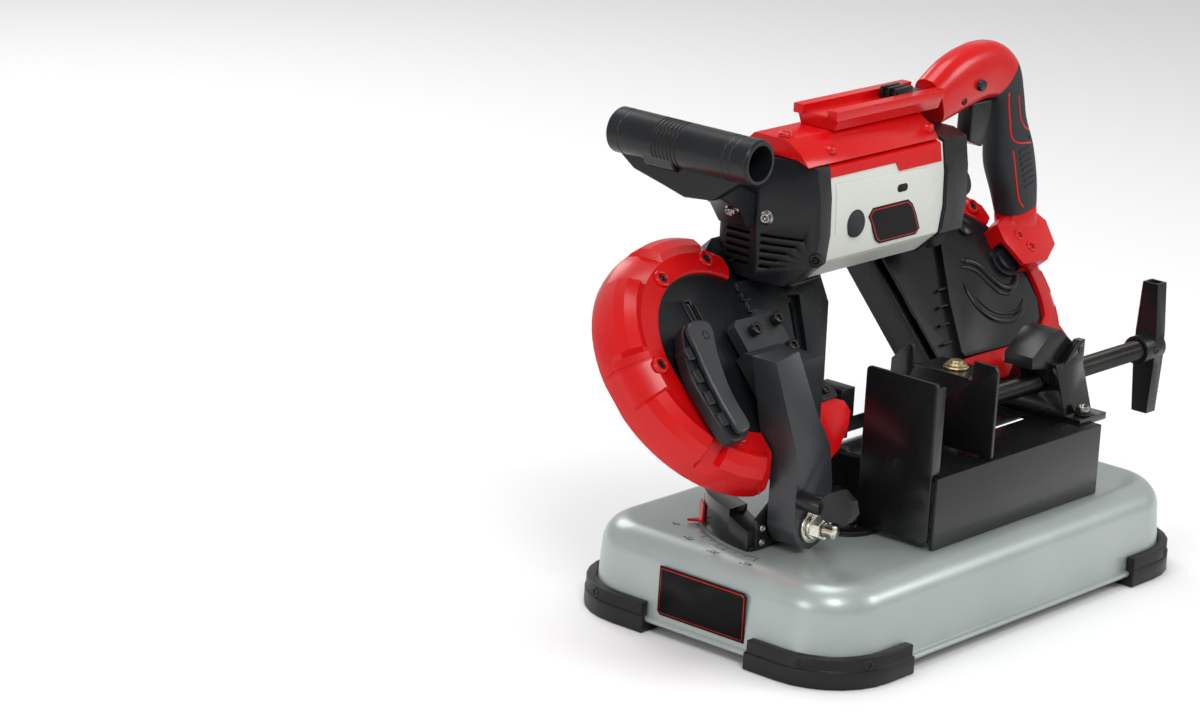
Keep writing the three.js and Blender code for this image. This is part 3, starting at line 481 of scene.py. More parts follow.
def foot_details(name, sx, sy):
    """The two countersunk screws that hold a rubber corner."""
    cx = BASE["length"] / 2 - BASE["corner"]
    cy = BASE["width"] / 2 - BASE["corner"]
    for number, degrees in ((1, 20), (2, 70)):
        a = math.radians(degrees)
        out = Vector((sx * math.cos(a), sy * math.sin(a), 0))
        seat = Vector((sx * cx, sy * cy, FOOT_SCREW_Z)) + out * (BASE["corner"] + 1.9)
        boss_screw(f"{name}_boss_{number}", STAND @ axes(seat, out, (0, 0, 1)), "bench", 4.6, 2.6, "rubber")


def softened_nodes():
    """Pieces that keep their CAD shape, with rounded edges."""
    widths = {
        "foot_front_left": 1.2, "foot_front_right": 1.2, "foot_back_left": 1.2, "foot_back_right": 1.2,
        "turntable": 0.8, "mitre_pointer": 0.4, "mitre_lock_knob": 1.0, "wing_knob": 1.6,
        "half_nut": 2.0, "screw_bracket": 1.4, "vice_channel": 0.9,
        "top_cover": 2.0, "battery_shoe": 1.2, "contact_block": 0.6,
        "left_guide_bracket": 1.0, "right_guide_bracket": 1.0, "trigger": 2.0, "lock_off_button": 0.8,
        "jaw_swivel_bolt": 0.6, "bracket_bolt_front": 0.5, "bracket_bolt_rear": 0.5,
        "pivot_nut": 0.7, "pivot_washer": 0.4,
        "arm_screw_1": 0.5, "arm_screw_2": 0.5, "arm_screw_3": 0.5, "left_nose_guard": 2.4,
        "fixed_jaw": 0.7,
    }
    for node, width in widths.items():
        soften(copied(node), width)
    soften(copied("saw_arm"), 4.6, 4)


# ---------------------------------------------------------------- small hardware and trim
def on_head(x, v, h):
    """A frame on the leaning head, with Z out of the wheel housings."""
    return HEAD @ Matrix.Translation((x, v, h))


def facing(x, y, z, normal, side=(1, 0, 0)):
    """A frame on the machine with Z along a surface's normal."""
    return STAND @ axes((x, y, z), normal, side)


def smooth_path(points, steps=5):
    """More points on a smooth curve through the given ones."""
    rows = [Vector(p) for p in points]
    rows = [2 * rows[0] - rows[1]] + rows + [2 * rows[-1] - rows[-2]]
    path = []
    for i in range(1, len(rows) - 2):
        a, b, c, d = rows[i - 1 : i + 3]
        for k in range(steps):
            t = k / steps
            bend = (2 * a - 5 * b + 4 * c - d) * t**2 + (3 * b - a - 3 * c + d) * t**3
            path.append(0.5 * (2 * b + (c - a) * t + bend))
    return path + [rows[-2]]


def smooth_outline(points, steps=3):
    """A closed outline with more points, on a smooth curve through the given ones."""
    around = [(x, y, 0) for x, y in points[-2:] + points + points[:2]]
    curve = smooth_path(around, steps)[2 * steps : -2 * steps]
    return [(p.x, p.y) for p in curve[: len(points) * steps]]


def sideways(path, i):
    """The direction square to a flat path at one of its points."""
    ahead = (path[min(i + 1, len(path) - 1)] - path[max(i - 1, 0)]).normalized()
    return Vector((-ahead.y, ahead.x, 0))


def ridge(name, points, width, height, material, body, matrix):
    """A rounded rib that stands on a face along a path in X and Y, tapered at both ends."""
    path = smooth_path([(x, y, 0) for x, y in points])
    rings = []
    for i, p in enumerate(path):
        side = sideways(path, i)
        end = min(i, len(path) - 1 - i)
        size = (0.25, 0.7, 1.0)[min(end, 2)]
        ring = []
        for k in range(9):
            a = math.pi * k / 8
            rise = Vector((0, 0, height * size * math.sin(a) - 0.2))
            ring.append(tuple(p + side * (width * size * math.cos(a)) + rise))
        rings.append(ring)
    return finished(name, skin(rings), material, body, matrix)


def inset_outline(points, inset):
    """The outline shrunk by an equal distance on every side."""
    corners = [Vector(p) for p in points]
    sides = list(zip(corners, corners[1:] + corners[:1]))
    area = sum(p.x * q.y - q.x * p.y for p, q in sides)
    way = 1 if area > 0 else -1
    lines = []
    for p, q in sides:
        d = (q - p).normalized()
        lines.append((p + Vector((-d.y, d.x)) * inset * way, d))
    shrunk = []
    for i in range(len(lines)):
        (p, d), (q, e) = lines[i - 1], lines[i]
        t = ((q - p).x * e.y - (q - p).y * e.x) / (d.x * e.y - d.y * e.x)
        shrunk.append(tuple(p + d * t))
    return shrunk


# The front of the motor's shell in section, as (height, Y).
SHELL_FRONT = ((276, 42), (296, 20), (320, 17), (350, 18), (375, 22), (380, 36))


def shell_face(z):
    """Where the front of the motor's shell is, in Y, at a height."""
    for (z0, y0), (z1, y1) in zip(SHELL_FRONT, SHELL_FRONT[1:]):
        if z <= z1:
            return y0 + (y1 - y0) * (z - z0) / (z1 - z0)
    return SHELL_FRONT[-1][1]


def shell_patch(name, points, lo, hi, material, edge=0.15):
    """A thin plate, outlined in X and Z, that follows the bent front of the motor's shell."""
    bm = prism(points, lo, hi)
    for level in (320, 350, 375):
        geometry = bm.verts[:] + bm.edges[:] + bm.faces[:]
        bmesh.ops.bisect_plane(bm, geom=geometry, plane_co=(0, level, 0), plane_no=(0, 1, 0), dist=1e-4)
    for v in bm.verts:
        x, z, out = v.co
        v.co = (x, shell_face(z) - out, z)
    bmesh.ops.recalc_face_normals(bm, faces=bm.faces)
    return soften(finished(name, bm, material, "head"), edge, 2, 40)


# ---------------------------------------------------------------- left wheel housing
BUMPER_PANELS = ((74, 104), (128, 166), (190, 222), (231, 254))
BUMPER_SEAM = 172
BUMPER_SECTION = (
    (86.4, -18), (107, -18), (113, -12.5), (114.5, -5), (114.1, 3), (108.6, 12.2), (102.4, 18.6),
    (96.2, 24.6), (92.5, 27.2), (76, 27.2), (74.4, 26.3), (74, 24.4), (86.4, 24.4),
)
PANEL_LIFT = {4: (0.3, 3.4), 5: (4.2, 4.4), 6: (5.0, 5.4), 7: (2.6, 4.6)}  # by point of the section
BUMPER_BOSSES = ((-217.3, 75.3), (-156.4, 82.8), (-269.4, 4.8), (-224, -70))


def bumper_level(degrees):
    """0 between the raised panels of the guard, 1 on them, and a little under 0 along its seam."""
    if abs(degrees - BUMPER_SEAM) < 0.6:
        return -0.45
    return 1 if any(a <= degrees <= b for a, b in BUMPER_PANELS) else 0


def bumper_angles():
    """The angles at which the guard has a ring: between its panels, across them and beside its seam."""
    angles = {56.0, 60.0, 65.0, 69.0, 110.0, 114.0, 119.0, 123.0, 259.0, 263.0, 267.0, 270.0}
    for a, b in BUMPER_PANELS:
        parts = round((b - a) / 4.5)
        angles |= {a - 1.6, b + 1.6} | {a + (b - a) * i / parts for i in range(parts + 1)}
    angles |= {BUMPER_SEAM - 0.7, BUMPER_SEAM - 0.5, BUMPER_SEAM + 0.5, BUMPER_SEAM + 0.7}
    return sorted(angles)


def bumper_ring(degrees):
    """The guard's section at an angle round its wheel."""
    level = bumper_level(degrees)
    a = math.radians(degrees)
    ring = []
    for i, (r, h) in enumerate(BUMPER_SECTION):
        dr, dh = PANEL_LIFT.get(i, (0, 0))
        if level < 0:
            dr, dh = (1.5, 0.6) if 1 < i < 10 else (0, 0)
        r += dr * level
        h += dh * level
        ring.append((LEFT_X + r * math.cos(a), r * math.sin(a), h))
    return ring


def left_bumper():
    rings = [bumper_ring(degrees) for degrees in bumper_angles()]
    guard = finished("left_bumper_form", skin(rings), "red", "head", HEAD, ["left_bumper"])
    arm_room = [(-52, 80), (-20, 80), (-12, 124), (-12, 166), (-4, 245), (-32, 249), (-52, 172)]
    carve(
        guard,
        cutter(prism([(-136, -150), (0, -150), (0, 150), (-136, 150)], -60, 60), HEAD),
        cutter(prism([(-199, -150), (-60, -150), (-60, 0), (-136, 60), (-199, 0)], -60, 60), HEAD),
        cutter(prism([(LEFT_X, -86.35), (-100, -86.35), (-100, 86.35), (LEFT_X, 86.35)], -40, 24.35), HEAD),
        cutter(prism(arm_room, -200, -145), STAND @ CROSSWISE),
    )
    soften(guard, 0.5, 2, 15)
    for number, (x, v) in enumerate(BUMPER_BOSSES, 1):
        boss_screw(f"left_bumper_boss_{number}", on_head(x, v, 26.6), "head", 7.6, 3.4, "red")


def left_cover():
    cover = soften(copied("left_wheel_cover"), 1.6, 3)
    tab = rounded_box(-195.5, -189, 27, 49, 20, 26.4, 1.2)
    soften(finished("band_tension_tab", tab, "black", "head", HEAD), 0.7)
    rail = rounded_box(-207, -203.6, 25, 53, 23.5, 25.4, 1.2)
    soften(finished("band_tension_rail", rail, "black", "head", HEAD), 0.6)
    strip = prism([(-134.6, -40), (-131.6, -40), (-131.6, 57), (-134.6, 57)], 23.6, 25.6)
    soften(finished("housing_seam", strip, "casting", "head", HEAD), 0.6)
    for number, v in enumerate((50, 41, 30), 1):
        clip = rounded_box(-139, -127.5, v - 1.7, v + 1.7, 23.6, 27.2, 1.2)
        soften(finished(f"housing_clip_{number}", clip, "casting", "head", HEAD), 0.6)


def main_casting():
    casting = copied("main_frame")
    pocket = [(-81, 36), (-67, 33.5), (-94, -17), (-107, -17)]
    carve(casting, cutter(prism(pocket, 18, 40), HEAD))
    soften(casting, 1.5, 2)
    pocket_floor = on_head(2.5, 0, 18)
    ridge("pocket_rib", [(-79, 30), (-91, 8), (-102, -14)], 1.5, 4.6, "casting", "head", pocket_floor)
    shelf = prism([(-93, 57.5), (-87, 50), (-77, 38.5), (-39, 40), (-33, 46), (-29, 57.5)], 23.5, 31)
    soften(finished("casting_shelf", shelf, "casting", "head", HEAD), 2.6, 3)
    foot = prism([(-119, -45), (-98, -45), (-91, -57), (-92, -63), (-119, -63)], 23.5, 28.5)
    soften(finished("guide_foot", foot, "casting", "head", HEAD), 1.2, 2)
    socket_screw("guide_foot_screw", on_head(-104, -54, 28.4), "head", 4, 3.2)


LEVER_WALL = [
    (-246, 20), (-238, 27), (-224, 28), (-214, 20), (-222, -2), (-228, -22), (-231, -45), (-230, -71),
    (-240, -78), (-256, -75), (-260, -50), (-261, -20), (-256, 2),
]
LEVER_FACE = [
    (-244, 19), (-238, 25.5), (-225, 26.5), (-216, 19), (-224, -2), (-230, -22), (-233, -45), (-232, -69),
    (-240, -74), (-248, -71), (-250, -46), (-249, -20), (-246, 2),
]


def lever():
    """The band tension lever: a narrow smooth face along its inner side, lighter grey as a painted highlight,
    over a wider wall with steps.
    """
    wall = prism(smooth_outline(LEVER_WALL), 31.4, 43)
    hub = disc(12, 24.3, 32, 0.6, 32, (-233, 9))
    face = prism(smooth_outline(LEVER_FACE), 43.2, 49.8)
    wall = finished("tension_lever_wall", wall, "black", "lever", HEAD, ["tension_lever"])
    soften(wall, 1.6, 3, 40)
    finished("tension_lever_hub", hub, "black", "lever", HEAD)
    # The face takes the lighter lever finish: a painted highlight on the lever's top.
    soften(finished("tension_lever_face", face, "lever", "lever", HEAD), 2.2, 4, 40)
    socket_screw("lever_pivot_screw", on_head(-229, 12, 48.4), "lever", 4.6, 1.8)
    for number, (x, v) in enumerate(((-252.5, 2), (-256, -18), (-256.5, -38), (-254.5, -58)), 1):
        step = rounded_box(x - 3.6, x + 4, v - 6, v + 6, 33, 46.5, 1.4)
        soften(finished(f"lever_step_{number}", step, "black", "lever", HEAD), 1.0)


# ---------------------------------------------------------------- motor
LABEL = [
    (-35.5, 327), (-29.5, 333.5), (19, 333.5), (25.5, 329), (40, 305), (35.5, 300), (-14.5, 300), (-21, 304),
]


def motor():
    casing = soften(copied("motor_casing"), 2.2, 3, 12)
    panel = [(-79, 361), (46, 357), (58, 330), (45, 293), (-79, 293)]
    shell_patch("shell_panel", panel, -0.8, 0.9, "pale", 0.8)
    cap = disc(11.8, -2, 2.2, 1.0, 48)
    finished("motor_brush_cap", cap, "grip", "head", facing(-51.9, shell_face(323.8), 323.8, (0, -1, 0.03)))
    shell_patch("shell_label", LABEL, 0.5, 1.35, "label")
    shell_patch("shell_label_line", inset_outline(LABEL, 1.7), 0.8, 1.5, "red")
    shell_patch("shell_label_field", inset_outline(LABEL, 2.4), 0.9, 1.62, "label")
    # The slot is not cut: a dark plate proud of the shell paints the shade inside its opening.
    slot = rounded_box(3.5, 17.5, 341.6, 348.2, 0.4, 1.25, 3.2, 6)
    for v in slot.verts:
        x, z, out = v.co
        v.co = (x, shell_face(z) - out, z)
    finished("shell_slot_shade", slot, "slot_shade", "head")
    edge = [(-85.6, 367), (3, 367), (7, 359.5), (65.8, 359.5), (65.8, 378), (-85.6, 378)]
    shell_patch("top_cover_edge", edge, 0.2, 1.2, "red", 0.4)
    for number, (x, y, z) in enumerate(((-104, 55, 397), (-74, 33.5, 385), (60, 33.5, 385)), 1):
        boss_screw(f"top_cover_boss_{number}", facing(x, y, z, (0, 0, 1)), "head", 6.2, 5.2, "red")


def left_collar():
    collar = copied("left_motor_collar")
    along = Vector((0.4045, -0.9145, 0))
    out = Vector((-0.9145, -0.4045, 0))
    tools = []
    reaches = (42, 35, 27.5, 20.5, 14.5)
    for row, reach in enumerate(reaches):
        z = 315.5 - 6.6 * row
        flat = rounded_box(71, 96.5, z - 1.5, z + 1.5, -130, -114, 1.4)
        tools.append(cutter(flat, STAND @ CROSSWISE))
        start = Vector((-123, 66, z)) + along * 4.5
        slit = rounded_box(0, reach - 4.5, -1.5, 1.5, -9, 6, 1.4)
        tools.append(cutter(slit, STAND @ axes(start, out, along)))
    soften(carve(collar, *tools), 0.5, 2, 35)
    boss_screw("left_collar_boss", facing(-101.5, 17.4, 300, out), "head", 5.4, 2.4, "black")


def right_collar():
    soften(copied("right_motor_collar"), 1.6, 3)
    band = [(71.5, 356), (82, 356), (82, 298), (71.5, 298)]
    shell_patch("right_collar_band", band, 1.0, 2.4, "black", 0.6)


# ---------------------------------------------------------------- handles
# Stations along the rear handle: x, z, half width, half thickness, direction in degrees.
HANDLE = (
    (97, 399, 22, 15, 20), (122, 409, 26, 16, 20), (148, 416, 27, 16, 12), (175, 418, 26, 16, -4),
    (196, 409, 23, 16, -45), (206, 390, 20, 16, -76), (212, 366, 21, 16, -76), (221, 336, 27, 17, -72),
    (233, 306, 24, 17, -72), (239, 284, 21, 16, -78),
)
HANDLE_Y = 59
HANDLE_TOP = 443.4


def handle_ring(x, z, wide, thick, degrees):
    """The handle's section at a place: a rounded oval, turned in the plane of the handle."""
    sides = 32
    turn = math.radians(degrees)
    ring = []
    for i in range(sides):
        a = (i + 0.5) * 2 * math.pi / sides
        across = wide * math.copysign(abs(math.cos(a)) ** 0.8, math.cos(a))
        deep = thick * math.copysign(abs(math.sin(a)) ** 0.8, math.sin(a))
        height = min(z + across * math.cos(turn), HANDLE_TOP)
        ring.append((x - across * math.sin(turn), HANDLE_Y + deep, height))
    return ring


def handle_stations(first, last, steps=5):
    """More stations between two of the handle's, on a smooth curve through them all."""
    places = smooth_path([(x, z, wide) for x, z, wide, _, _ in HANDLE], steps)
    sections = smooth_path([(thick, degrees, 0) for _, _, _, thick, degrees in HANDLE], steps)
    whole = [(place.x, place.y, place.z, section.x, section.y) for place, section in zip(places, sections)]
    return whole[first * steps : last * steps + 1]


def trigger_room():
    outline = [(149, 340), (186, 340), (186, 393), (149, 393)]
    return cutter(prism(outline, -(HANDLE_Y + 9), -(HANDLE_Y - 9)), STAND @ UPRIGHT)


def rear_handle():
    beam = skin([handle_ring(*s) for s in handle_stations(0, 4)])
    beam = finished("rear_handle_beam_form", beam, "red", "head", STAND, ["rear_handle_beam"])
    carve(beam, trigger_room())
    soften(beam, 1.4, 2, 40)
    grip = skin([handle_ring(*s) for s in handle_stations(4, 9)])
    grip = finished("handle_grip_form", grip, "grip", "head", STAND, ["handle_grip"])
    carve(grip, trigger_room())
    soften(grip, 1.2, 2, 40)
    soften(copied("rear_handle_base"), 1.6, 2)
    grip_lines()
    for number, (x, v) in enumerate(((228.7, 14.0), (220.6, 27.2)), 1):
        boss_screw(f"handle_base_boss_{number}", on_head(x, v, 43.2), "head", 5.4, 2.2, "red")
    for number, (x, z) in enumerate(((228, 352), (243, 300), (128, 398)), 1):
        socket_screw(f"grip_screw_{number}", facing(x, HANDLE_Y - 14.6, z, (0, -1, 0)), "head", 3.4, 1.4)


def grip_surface(x, z):
    """How far the grip's near side stands forward at a place on it, from the nearest station."""
    best = min(handle_stations(3, 9), key=lambda s: (s[0] - x) ** 2 + (s[1] - z) ** 2)
    turn = math.radians(best[4])
    across = -(x - best[0]) * math.sin(turn) + (z - best[1]) * math.cos(turn)
    share = min(abs(across) / best[2], 0.999)
    cosine = share ** (1 / 0.8)
    return HANDLE_Y - best[3] * (1 - cosine**2) ** 0.4


def grip_band(name, points, width, material, out=0.5):
    """A narrow moulded line that lies on the near side of the grip."""
    path = smooth_path([(x, z, 0) for x, z in points], 4)
    rings = []
    for i, p in enumerate(path):
        side = sideways(path, i) * width / 2
        ring = []
        for edge, depth in ((-1, -1.5), (-1, out * 0.6), (-0.5, out), (0.5, out), (1, out * 0.6), (1, -1.5)):
            q = p + side * edge
            ring.append((q.x, grip_surface(q.x, q.y) - depth, q.y))
        rings.append(ring)
    return finished(name, skin(rings), material, "head")


def grip_lines():
    grip_band("grip_line_1", [(193, 397), (199, 372), (206, 352), (232, 347)], 1.6, "red")
    grip_band("grip_line_2", [(207, 393), (213, 372), (222, 362), (231, 359)], 1.6, "red")
    grip_band("grip_line_3", [(206, 343), (214, 316), (222, 296), (229, 288)], 1.6, "red")
    for number in range(7):
        z = 340 - 5.5 * number
        x = 214 + 2.2 * number
        grip_band(f"grip_rib_{number + 1}", [(x, z), (x + 8, z + 1.4), (x + 16, z + 2.8)], 2.2, "grip", 0.8)


def aux_tube():
    """The tube's wall in profile: rounded ends, a line near each end and a band of grooves for the hand."""
    outer = [(TUBE["radius"] - 2, TUBE["near"]), (TUBE["radius"], TUBE["near"] + 2)]
    grooves = [(3, 0.5), (10, 0.5)] + [(60 + 4 * i, 1.0) for i in range(7)] + [(120, 0.5)]
    for y, depth in grooves:
        outer += [(TUBE["radius"], y - 1.1), (TUBE["radius"] - depth, y - 0.5)]
        outer += [(TUBE["radius"] - depth, y + 0.5), (TUBE["radius"], y + 1.1)]
    outer += [(TUBE["radius"], TUBE["far"] - 2), (TUBE["radius"] - 2, TUBE["far"])]
    inner = [(TUBE["bore"], TUBE["far"]), (TUBE["bore"], TUBE["near"])]
    return lathe(outer + inner, 72)


def aux_handle():
    tube = aux_tube()
    tube.transform(Matrix.Translation((TUBE["x"], 0, TUBE["z"])) @ ALONG_Y)
    web = prism([(0, 389), (132, 389), (114, 377), (84, 370), (60, 364), (30, 367)], -226, -214)
    web.transform(CROSSWISE)
    plate = [
        (-238, 396), (-230, 391.5), (-222, 389.5), (-214, 391.5), (-206, 396), (-150, 362),
        (-123.4, 350), (-123.4, 322), (-133, 322), (-146, 340), (-232, 386),
    ]
    bracket = prism(plate, -98, -66)
    bracket.transform(UPRIGHT)
    tube = finished("aux_handle_tube", tube, "black", "head", STAND, ["aux_handle"])
    soften(tube, 0.4, 2, 30)
    soften(finished("aux_handle_web", web, "black", "head"), 2.0, 2, 30)
    soften(finished("aux_handle_bracket", bracket, "black", "head"), 1.6, 2, 30)
    seats = (((-145.6, 73.1, 339.4), (-0.81, 0, -0.59)), ((-119.4, 57.9, 331.0), (-0.91, -0.40, 0)))
    for number, (place, normal) in enumerate(seats, 1):
        seat = facing(*place, normal, (0, 1, 0))
        finished(f"aux_handle_washer_{number}", disc(6.4, -3, 1.4, 0.4, 28), "screw", "head", seat)
        raised = seat @ Matrix.Translation((0, 0, 1.3))
        socket_screw(f"aux_handle_screw_{number}", raised, "head", 4.4, 4.0, "screw")


# ---------------------------------------------------------------- right wheel housing
def right_housing():
    cover = soften(copied("right_wheel_cover"), 1.8, 3)
    face = on_head(0, 0, 26)
    upper = [(151, 24), (162, 21), (171, 14), (177, 2), (184, -8), (195, -12), (206, -8), (213, 2)]
    lower = [(139, 4), (138, -12), (141, -25), (149, -34), (160, -39), (174, -41), (188, -38), (199, -31)]
    upper_inner = [(x - 7, v - 5) for x, v in upper]
    lower_inner = [(x + 6, v + 6) for x, v in lower[1:]]
    ridge("cover_rib_upper", upper, 3.4, 3.0, "black", "head", face)
    ridge("cover_rib_upper_inner", upper_inner, 1.8, 1.8, "black", "head", face)
    ridge("cover_rib_lower", lower, 3.0, 2.6, "black", "head", face)
    ridge("cover_rib_lower_inner", lower_inner, 1.6, 1.6, "black", "head", face)
    finished("cover_boss_small", disc(9, 25.5, 29.5, 1.2, 36), "black", "head", on_head(179, 53, 0))
    for number, (x, v) in enumerate(((112, 4), (101, -11), (90, -27), (81, -44)), 1):
        rib = rounded_box(x - 8, x + 5, v - 1.1, v + 1.1, 19.6, 24.5, 1)
        soften(finished(f"cover_side_rib_{number}", rib, "black", "head", HEAD), 0.5)
    ear = prism([(186, 74), (196, 64), (214, 50), (224, 56), (222, 70), (208, 82), (192, 84)], 8, 25)
    soften(finished("right_housing_ear", ear, "red", "head", HEAD), 2.4, 3)
    boss_screw("right_housing_ear_boss", on_head(206, 70, 24.4), "head", 7.4, 3.6, "red")
    bumper = soften(copied("right_bumper"), 2.0, 3)
    for number, degrees in enumerate((-8, -28), 1):
        rib = lathe([(99, 21.5), (104, 21.5), (109.5, 11), (109.5, 6), (99, 6)], 8, degrees - 6, 12)
        finished(f"right_bumper_panel_{number}", rib, "red", "head", on_head(RIGHT_X, 0, 0.9))
    for number, (x, v) in enumerate(((203, -63), (158, -73)), 1):
        boss_screw(f"right_bumper_boss_{number}", on_head(x, v, 23.4), "head", 6.0, 2.6, "red")


def housing_back():
    """The casting's rear face: a ring, a hub and ribs over each wheel."""
    for side, x in (("left", LEFT_X), ("right", RIGHT_X)):
        back = on_head(x, 0, BACK) @ Matrix.Rotation(math.pi, 4, "X")
        ring = lathe([(58, -0.4), (58, 1.2), (59, 1.8), (61, 1.8), (62, 1.2), (62, -0.4)], 64)
        finished(f"{side}_back_ring", ring, "casting", "head", back)
        finished(f"{side}_back_hub", disc(17, -0.4, 2.4, 0.9, 40), "casting", "head", back)
        for number in range(6):
            rib = rounded_box(18, 58, -1.3, 1.3, -0.4, 1.6, 1.2)
            place = back @ Matrix.Rotation(math.radians(60 * number + 30), 4, "Z")
            soften(finished(f"{side}_back_rib_{number + 1}", rib, "casting", "head", place), 0.4)


# ---------------------------------------------------------------- vice
def vice_screw():
    """The screw, with a real single-start thread."""
    pitch = 3.0
    sides = 20
    start, end = -6.0, 284.0
    rings = []
    count = int((end - start) / pitch * 5)
    for i in range(count + 1):
        x = start + (end - start) * i / count
        ring = []
        for k in range(sides):
            phase = (x / pitch - k / sides) % 1
            r = 9.0 - 1.1 * abs(2 * phase - 1) ** 1.3
            a = 2 * math.pi * k / sides
            ring.append((x, VICE_Y + r * math.cos(a), SCREW_Z + r * math.sin(a)))
        rings.append(ring)
    thread = finished("vice_screw_thread", skin(rings), "blackened", "screw", STAND, ["vice_screw"])


def vice():
    jaw = copied("moving_jaw")
    hole = cutter(disc(3.3, -30, 5, 0.1, 24), STAND @ axes((-20, -93.8, 186.3), (1, 0, 0), (0, 1, 0)))
    carve(jaw, hole)
    soften(jaw, 0.7)
    tee = copied("tee_handle")
    ends = [cutter(rounded_box(-5.0, 5.0, -5.6, 5.6, a, b, 1.5), STAND @ Matrix.Translation((297, VICE_Y, 0)))
            for a, b in ((212, 240), (100, 128))]
    carve(tee, *ends)
    soften(tee, 1.5, 3)
    socket_screw("tee_handle_set_screw", facing(290, VICE_Y - 12.2, SCREW_Z, (0, -1, 0)), "screw", 3.6, 1.6)
    vice_screw()
    washer = disc(11, 205.9, 207.6, 0.4, 32)
    finished("jaw_bolt_washer", washer, "brass", "jaw", STAND @ Matrix.Translation((3, VICE_Y, 0)))
    for number, y in enumerate((-99.5, -15.5), 1):
        seat = facing(136, y, 150, (0, 0, 1))
        socket_screw(f"bracket_cap_screw_{number}", seat, "bench", 6.2, 6.5, "screw")


# ---------------------------------------------------------------- pivot, arm and turntable
def along_pivot(points):
    """Points of a level circle, stood up so that its axis is along Y."""
    return [(x, y, z) for x, z, y in points]


def threaded_bolt():
    """The pivot's bolt: a hexagon head behind, a plain shank, and a thread at its near end."""
    profile = [(5.0, -76), (5.9, -75)]
    y = -74.6
    while y < -60:
        profile += [(6.0, y), (5.2, y + 0.75)]
        y += 1.5
    profile += [(6.0, -59), (6.0, -13)]
    bm = skin([along_pivot(circle(r, y, 24, PIVOT)) for r, y in profile])
    skin([along_pivot(circle(10, y, 6, PIVOT)) for y in (-13.4, -6)], bm=bm)
    bolt = finished("pivot_bolt_thread", bm, "zinc", "table", STAND, ["pivot_bolt"])


def turntable_screws():
    for number, (x, z) in enumerate(((-197, 98), (-197, 86)), 1):
        socket_screw(f"turntable_screw_{number}", facing(x, -19, z, (0, -1, 0)), "table", 3.2, 2.4, "screw")


# ---------------------------------------------------------------- base markings
STICKER = [(-46, 20), (-43, 17), (46, 17), (46, 56), (43, 59), (-46, 59)]


def sticker():
    """A plain plate on the short side of the base: black with a thin red line inside its edge."""
    side = facing(-BASE["length"] / 2 + 5.1, 0, 0, (-1, 0, 0), (0, -1, 0))
    for name, points, lo, hi, material in (
        ("base_plate", STICKER, -0.4, 0.5, "label"),
        ("base_plate_line", inset_outline(STICKER, 1.6), 0.2, 0.62, "red"),
        ("base_plate_field", inset_outline(STICKER, 2.3), 0.3, 0.72, "label"),
    ):
        bm = prism(points, lo, hi)
        for v in bm.verts:
            v.co.z -= max(0.0, v.co.y - 55) ** 1.5 * 0.09
        finished(name, bm, material, "bench", side)


def mitre_scale():
    """Degree marks from 0 to 45 on the top of the base, round the swivel."""
    bm = bmesh.new()
    for degree in range(46):
        a = math.radians(MITRE_ZERO + degree)
        reach = 131 if degree % 15 == 0 else 128 if degree % 5 == 0 else 125
        along = Vector((math.cos(a), math.sin(a), 0))
        across = Vector((-along.y, along.x, 0)) * (0.34 if degree % 5 == 0 else 0.22)
        centre = Vector((*SWIVEL, 0))
        inner, outer = centre + along * 121.5, centre + along * reach
        outline = [inner - across, outer - across, outer + across, inner + across]
        prism([(p.x, p.y) for p in outline], BASE["top"] - 0.2, BASE["top"] + 0.12, bm)
    finished("mitre_scale_marks", bm, "ink", "bench")


def mitre_figures():
    """The scale's figures, on the outside of its marks."""
    for degree in (0, 15, 30, 45):
        a = math.radians(MITRE_ZERO + degree)
        curve = bpy.data.curves.new(f"mitre_scale_{degree}", "FONT")
        curve.body = f"{degree}\u00b0"
        curve.size = 0.0085
        curve.extrude = 0.00012
        curve.align_x = "CENTER"
        curve.align_y = "CENTER"
        text = bpy.data.objects.new(f"mitre_scale_{degree}", curve)
        centre = at(SWIVEL[0] + 140 * math.cos(a), SWIVEL[1] + 140 * math.sin(a), BASE["top"])
        text.matrix_world = Matrix.Translation(centre) @ Matrix.Rotation(a - math.pi / 2, 4, "Z")
        bpy.context.scene.collection.objects.link(text)
        curve.materials.append(MATERIALS["ink"])
        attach(text, "bench")


# ---------------------------------------------------------------- studio
LAMPS = (
    ("key", (-1.5, -1.6, 2.3), 1.1, 34),
    ("front_fill", (-2.6, 0.3, 1.0), 0.9, 12),
    ("right_fill", (1.6, -1.9, 1.3), 0.9, 16),
    ("top", (0.2, 0.5, 2.7), 1.6, 30),
    ("rim", (0.6, 2.2, 1.6), 1.2, 16),
)
AIM = Vector((0, 0, 0.2))


def soft_sky():
    """A plain white surround, which also fills the shadows."""
    bpy.context.scene.view_settings.view_transform = "Standard"
    world = bpy.data.worlds.new("studio")
    bpy.context.scene.world = world
    world.use_nodes = True
    background = world.node_tree.nodes["Background"]
    background.inputs["Color"].default_value = (1, 1, 1, 1)
    background.inputs["Strength"].default_value = 0.5


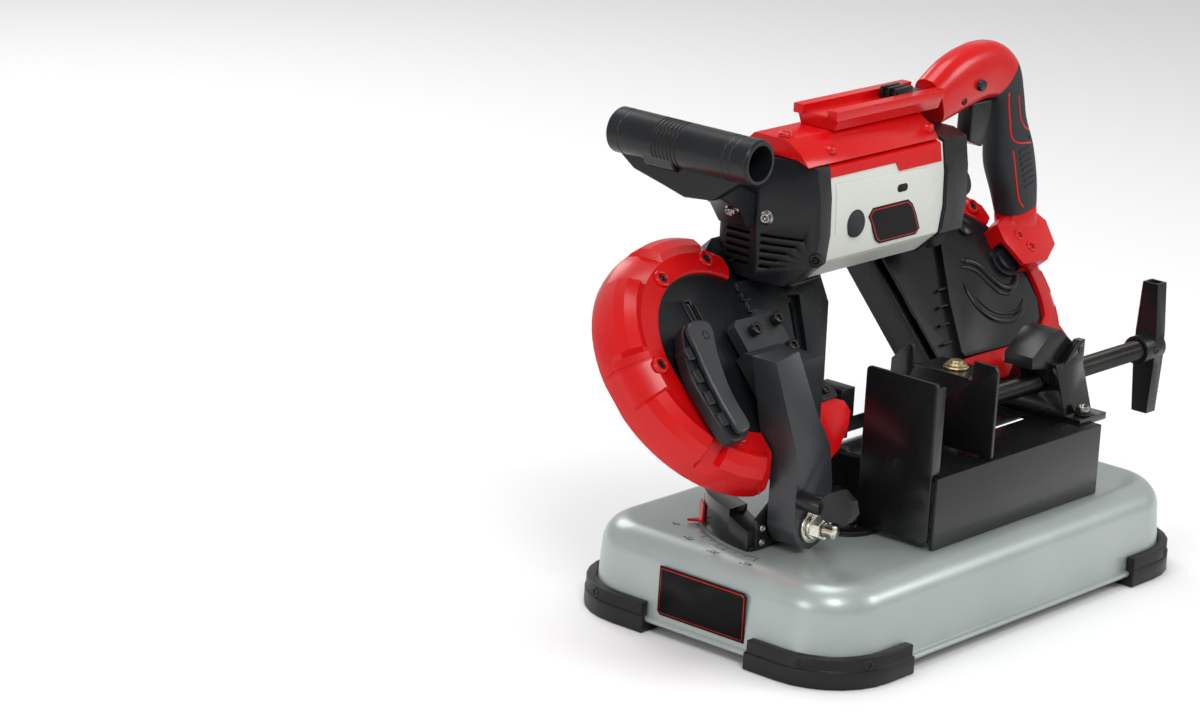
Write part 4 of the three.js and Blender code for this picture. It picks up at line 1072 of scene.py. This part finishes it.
def studio_floor():
    mesh = bpy.data.meshes.new("studio_floor")
    bm = bmesh.new()
    bmesh.ops.create_grid(bm, x_segments=8, y_segments=8, size=14)
    bm.to_mesh(mesh)
    bm.free()
    floor = bpy.data.objects.new("studio_floor", mesh)
    bpy.context.scene.collection.objects.link(floor)
    floor.data.materials.append(new_material("studio_floor", (0.84, 0.84, 0.84), 0.75, specular=0.2))
    floor.location.z = -0.0005


def lamps():
    """Soft round lamps, each a place in metres, a diameter and a power in watts."""
    for name, place, size, energy in LAMPS:
        lamp = bpy.data.lights.new(name, "AREA")
        lamp.shape = "DISK"
        lamp.size = size
        lamp.energy = energy
        obj = bpy.data.objects.new(name, lamp)
        obj.location = place
        obj.rotation_euler = (AIM - Vector(place)).to_track_quat("-Z", "Y").to_euler()
        bpy.context.scene.collection.objects.link(obj)


def camera():
    azimuth = math.radians(-49.3381)
    elevation = math.radians(16.4482)
    roll = math.radians(3.0269)
    back = Vector((
        math.sin(azimuth) * math.cos(elevation),
        -math.cos(azimuth) * math.cos(elevation),
        math.sin(elevation),
    ))
    right = Vector((0, 0, 1)).cross(back).normalized()
    up = back.cross(right)
    across = math.cos(roll) * right + math.sin(roll) * up
    above = math.cos(roll) * up - math.sin(roll) * right
    data = bpy.data.cameras.new("camera")
    data.lens = 118.78
    data.sensor_width = 36
    obj = bpy.data.objects.new("camera", data)
    turn = Matrix((across, above, back)).transposed().to_4x4()
    obj.matrix_world = Matrix.Translation((-2.61075, -1.9065, 1.1361)) @ turn
    bpy.context.scene.collection.objects.link(obj)
    bpy.context.scene.camera = obj


for node, obj in frame["nodes"].items():
    give(obj, FINISH_OF[node])
    obj.data.shade_flat()

base_pan()
softened_nodes()
for end, sign_y in (("front", -1), ("back", 1)):
    for hand, sign_x in (("left", -1), ("right", 1)):
        foot_details(f"foot_{end}_{hand}", sign_x, sign_y)
left_bumper()
left_cover()
main_casting()
lever()
motor()
left_collar()
right_collar()
rear_handle()
aux_handle()
right_housing()
housing_back()
vice()
threaded_bolt()
turntable_screws()
sticker()
mitre_scale()
mitre_figures()
soft_sky()
studio_floor()
lamps()
camera()
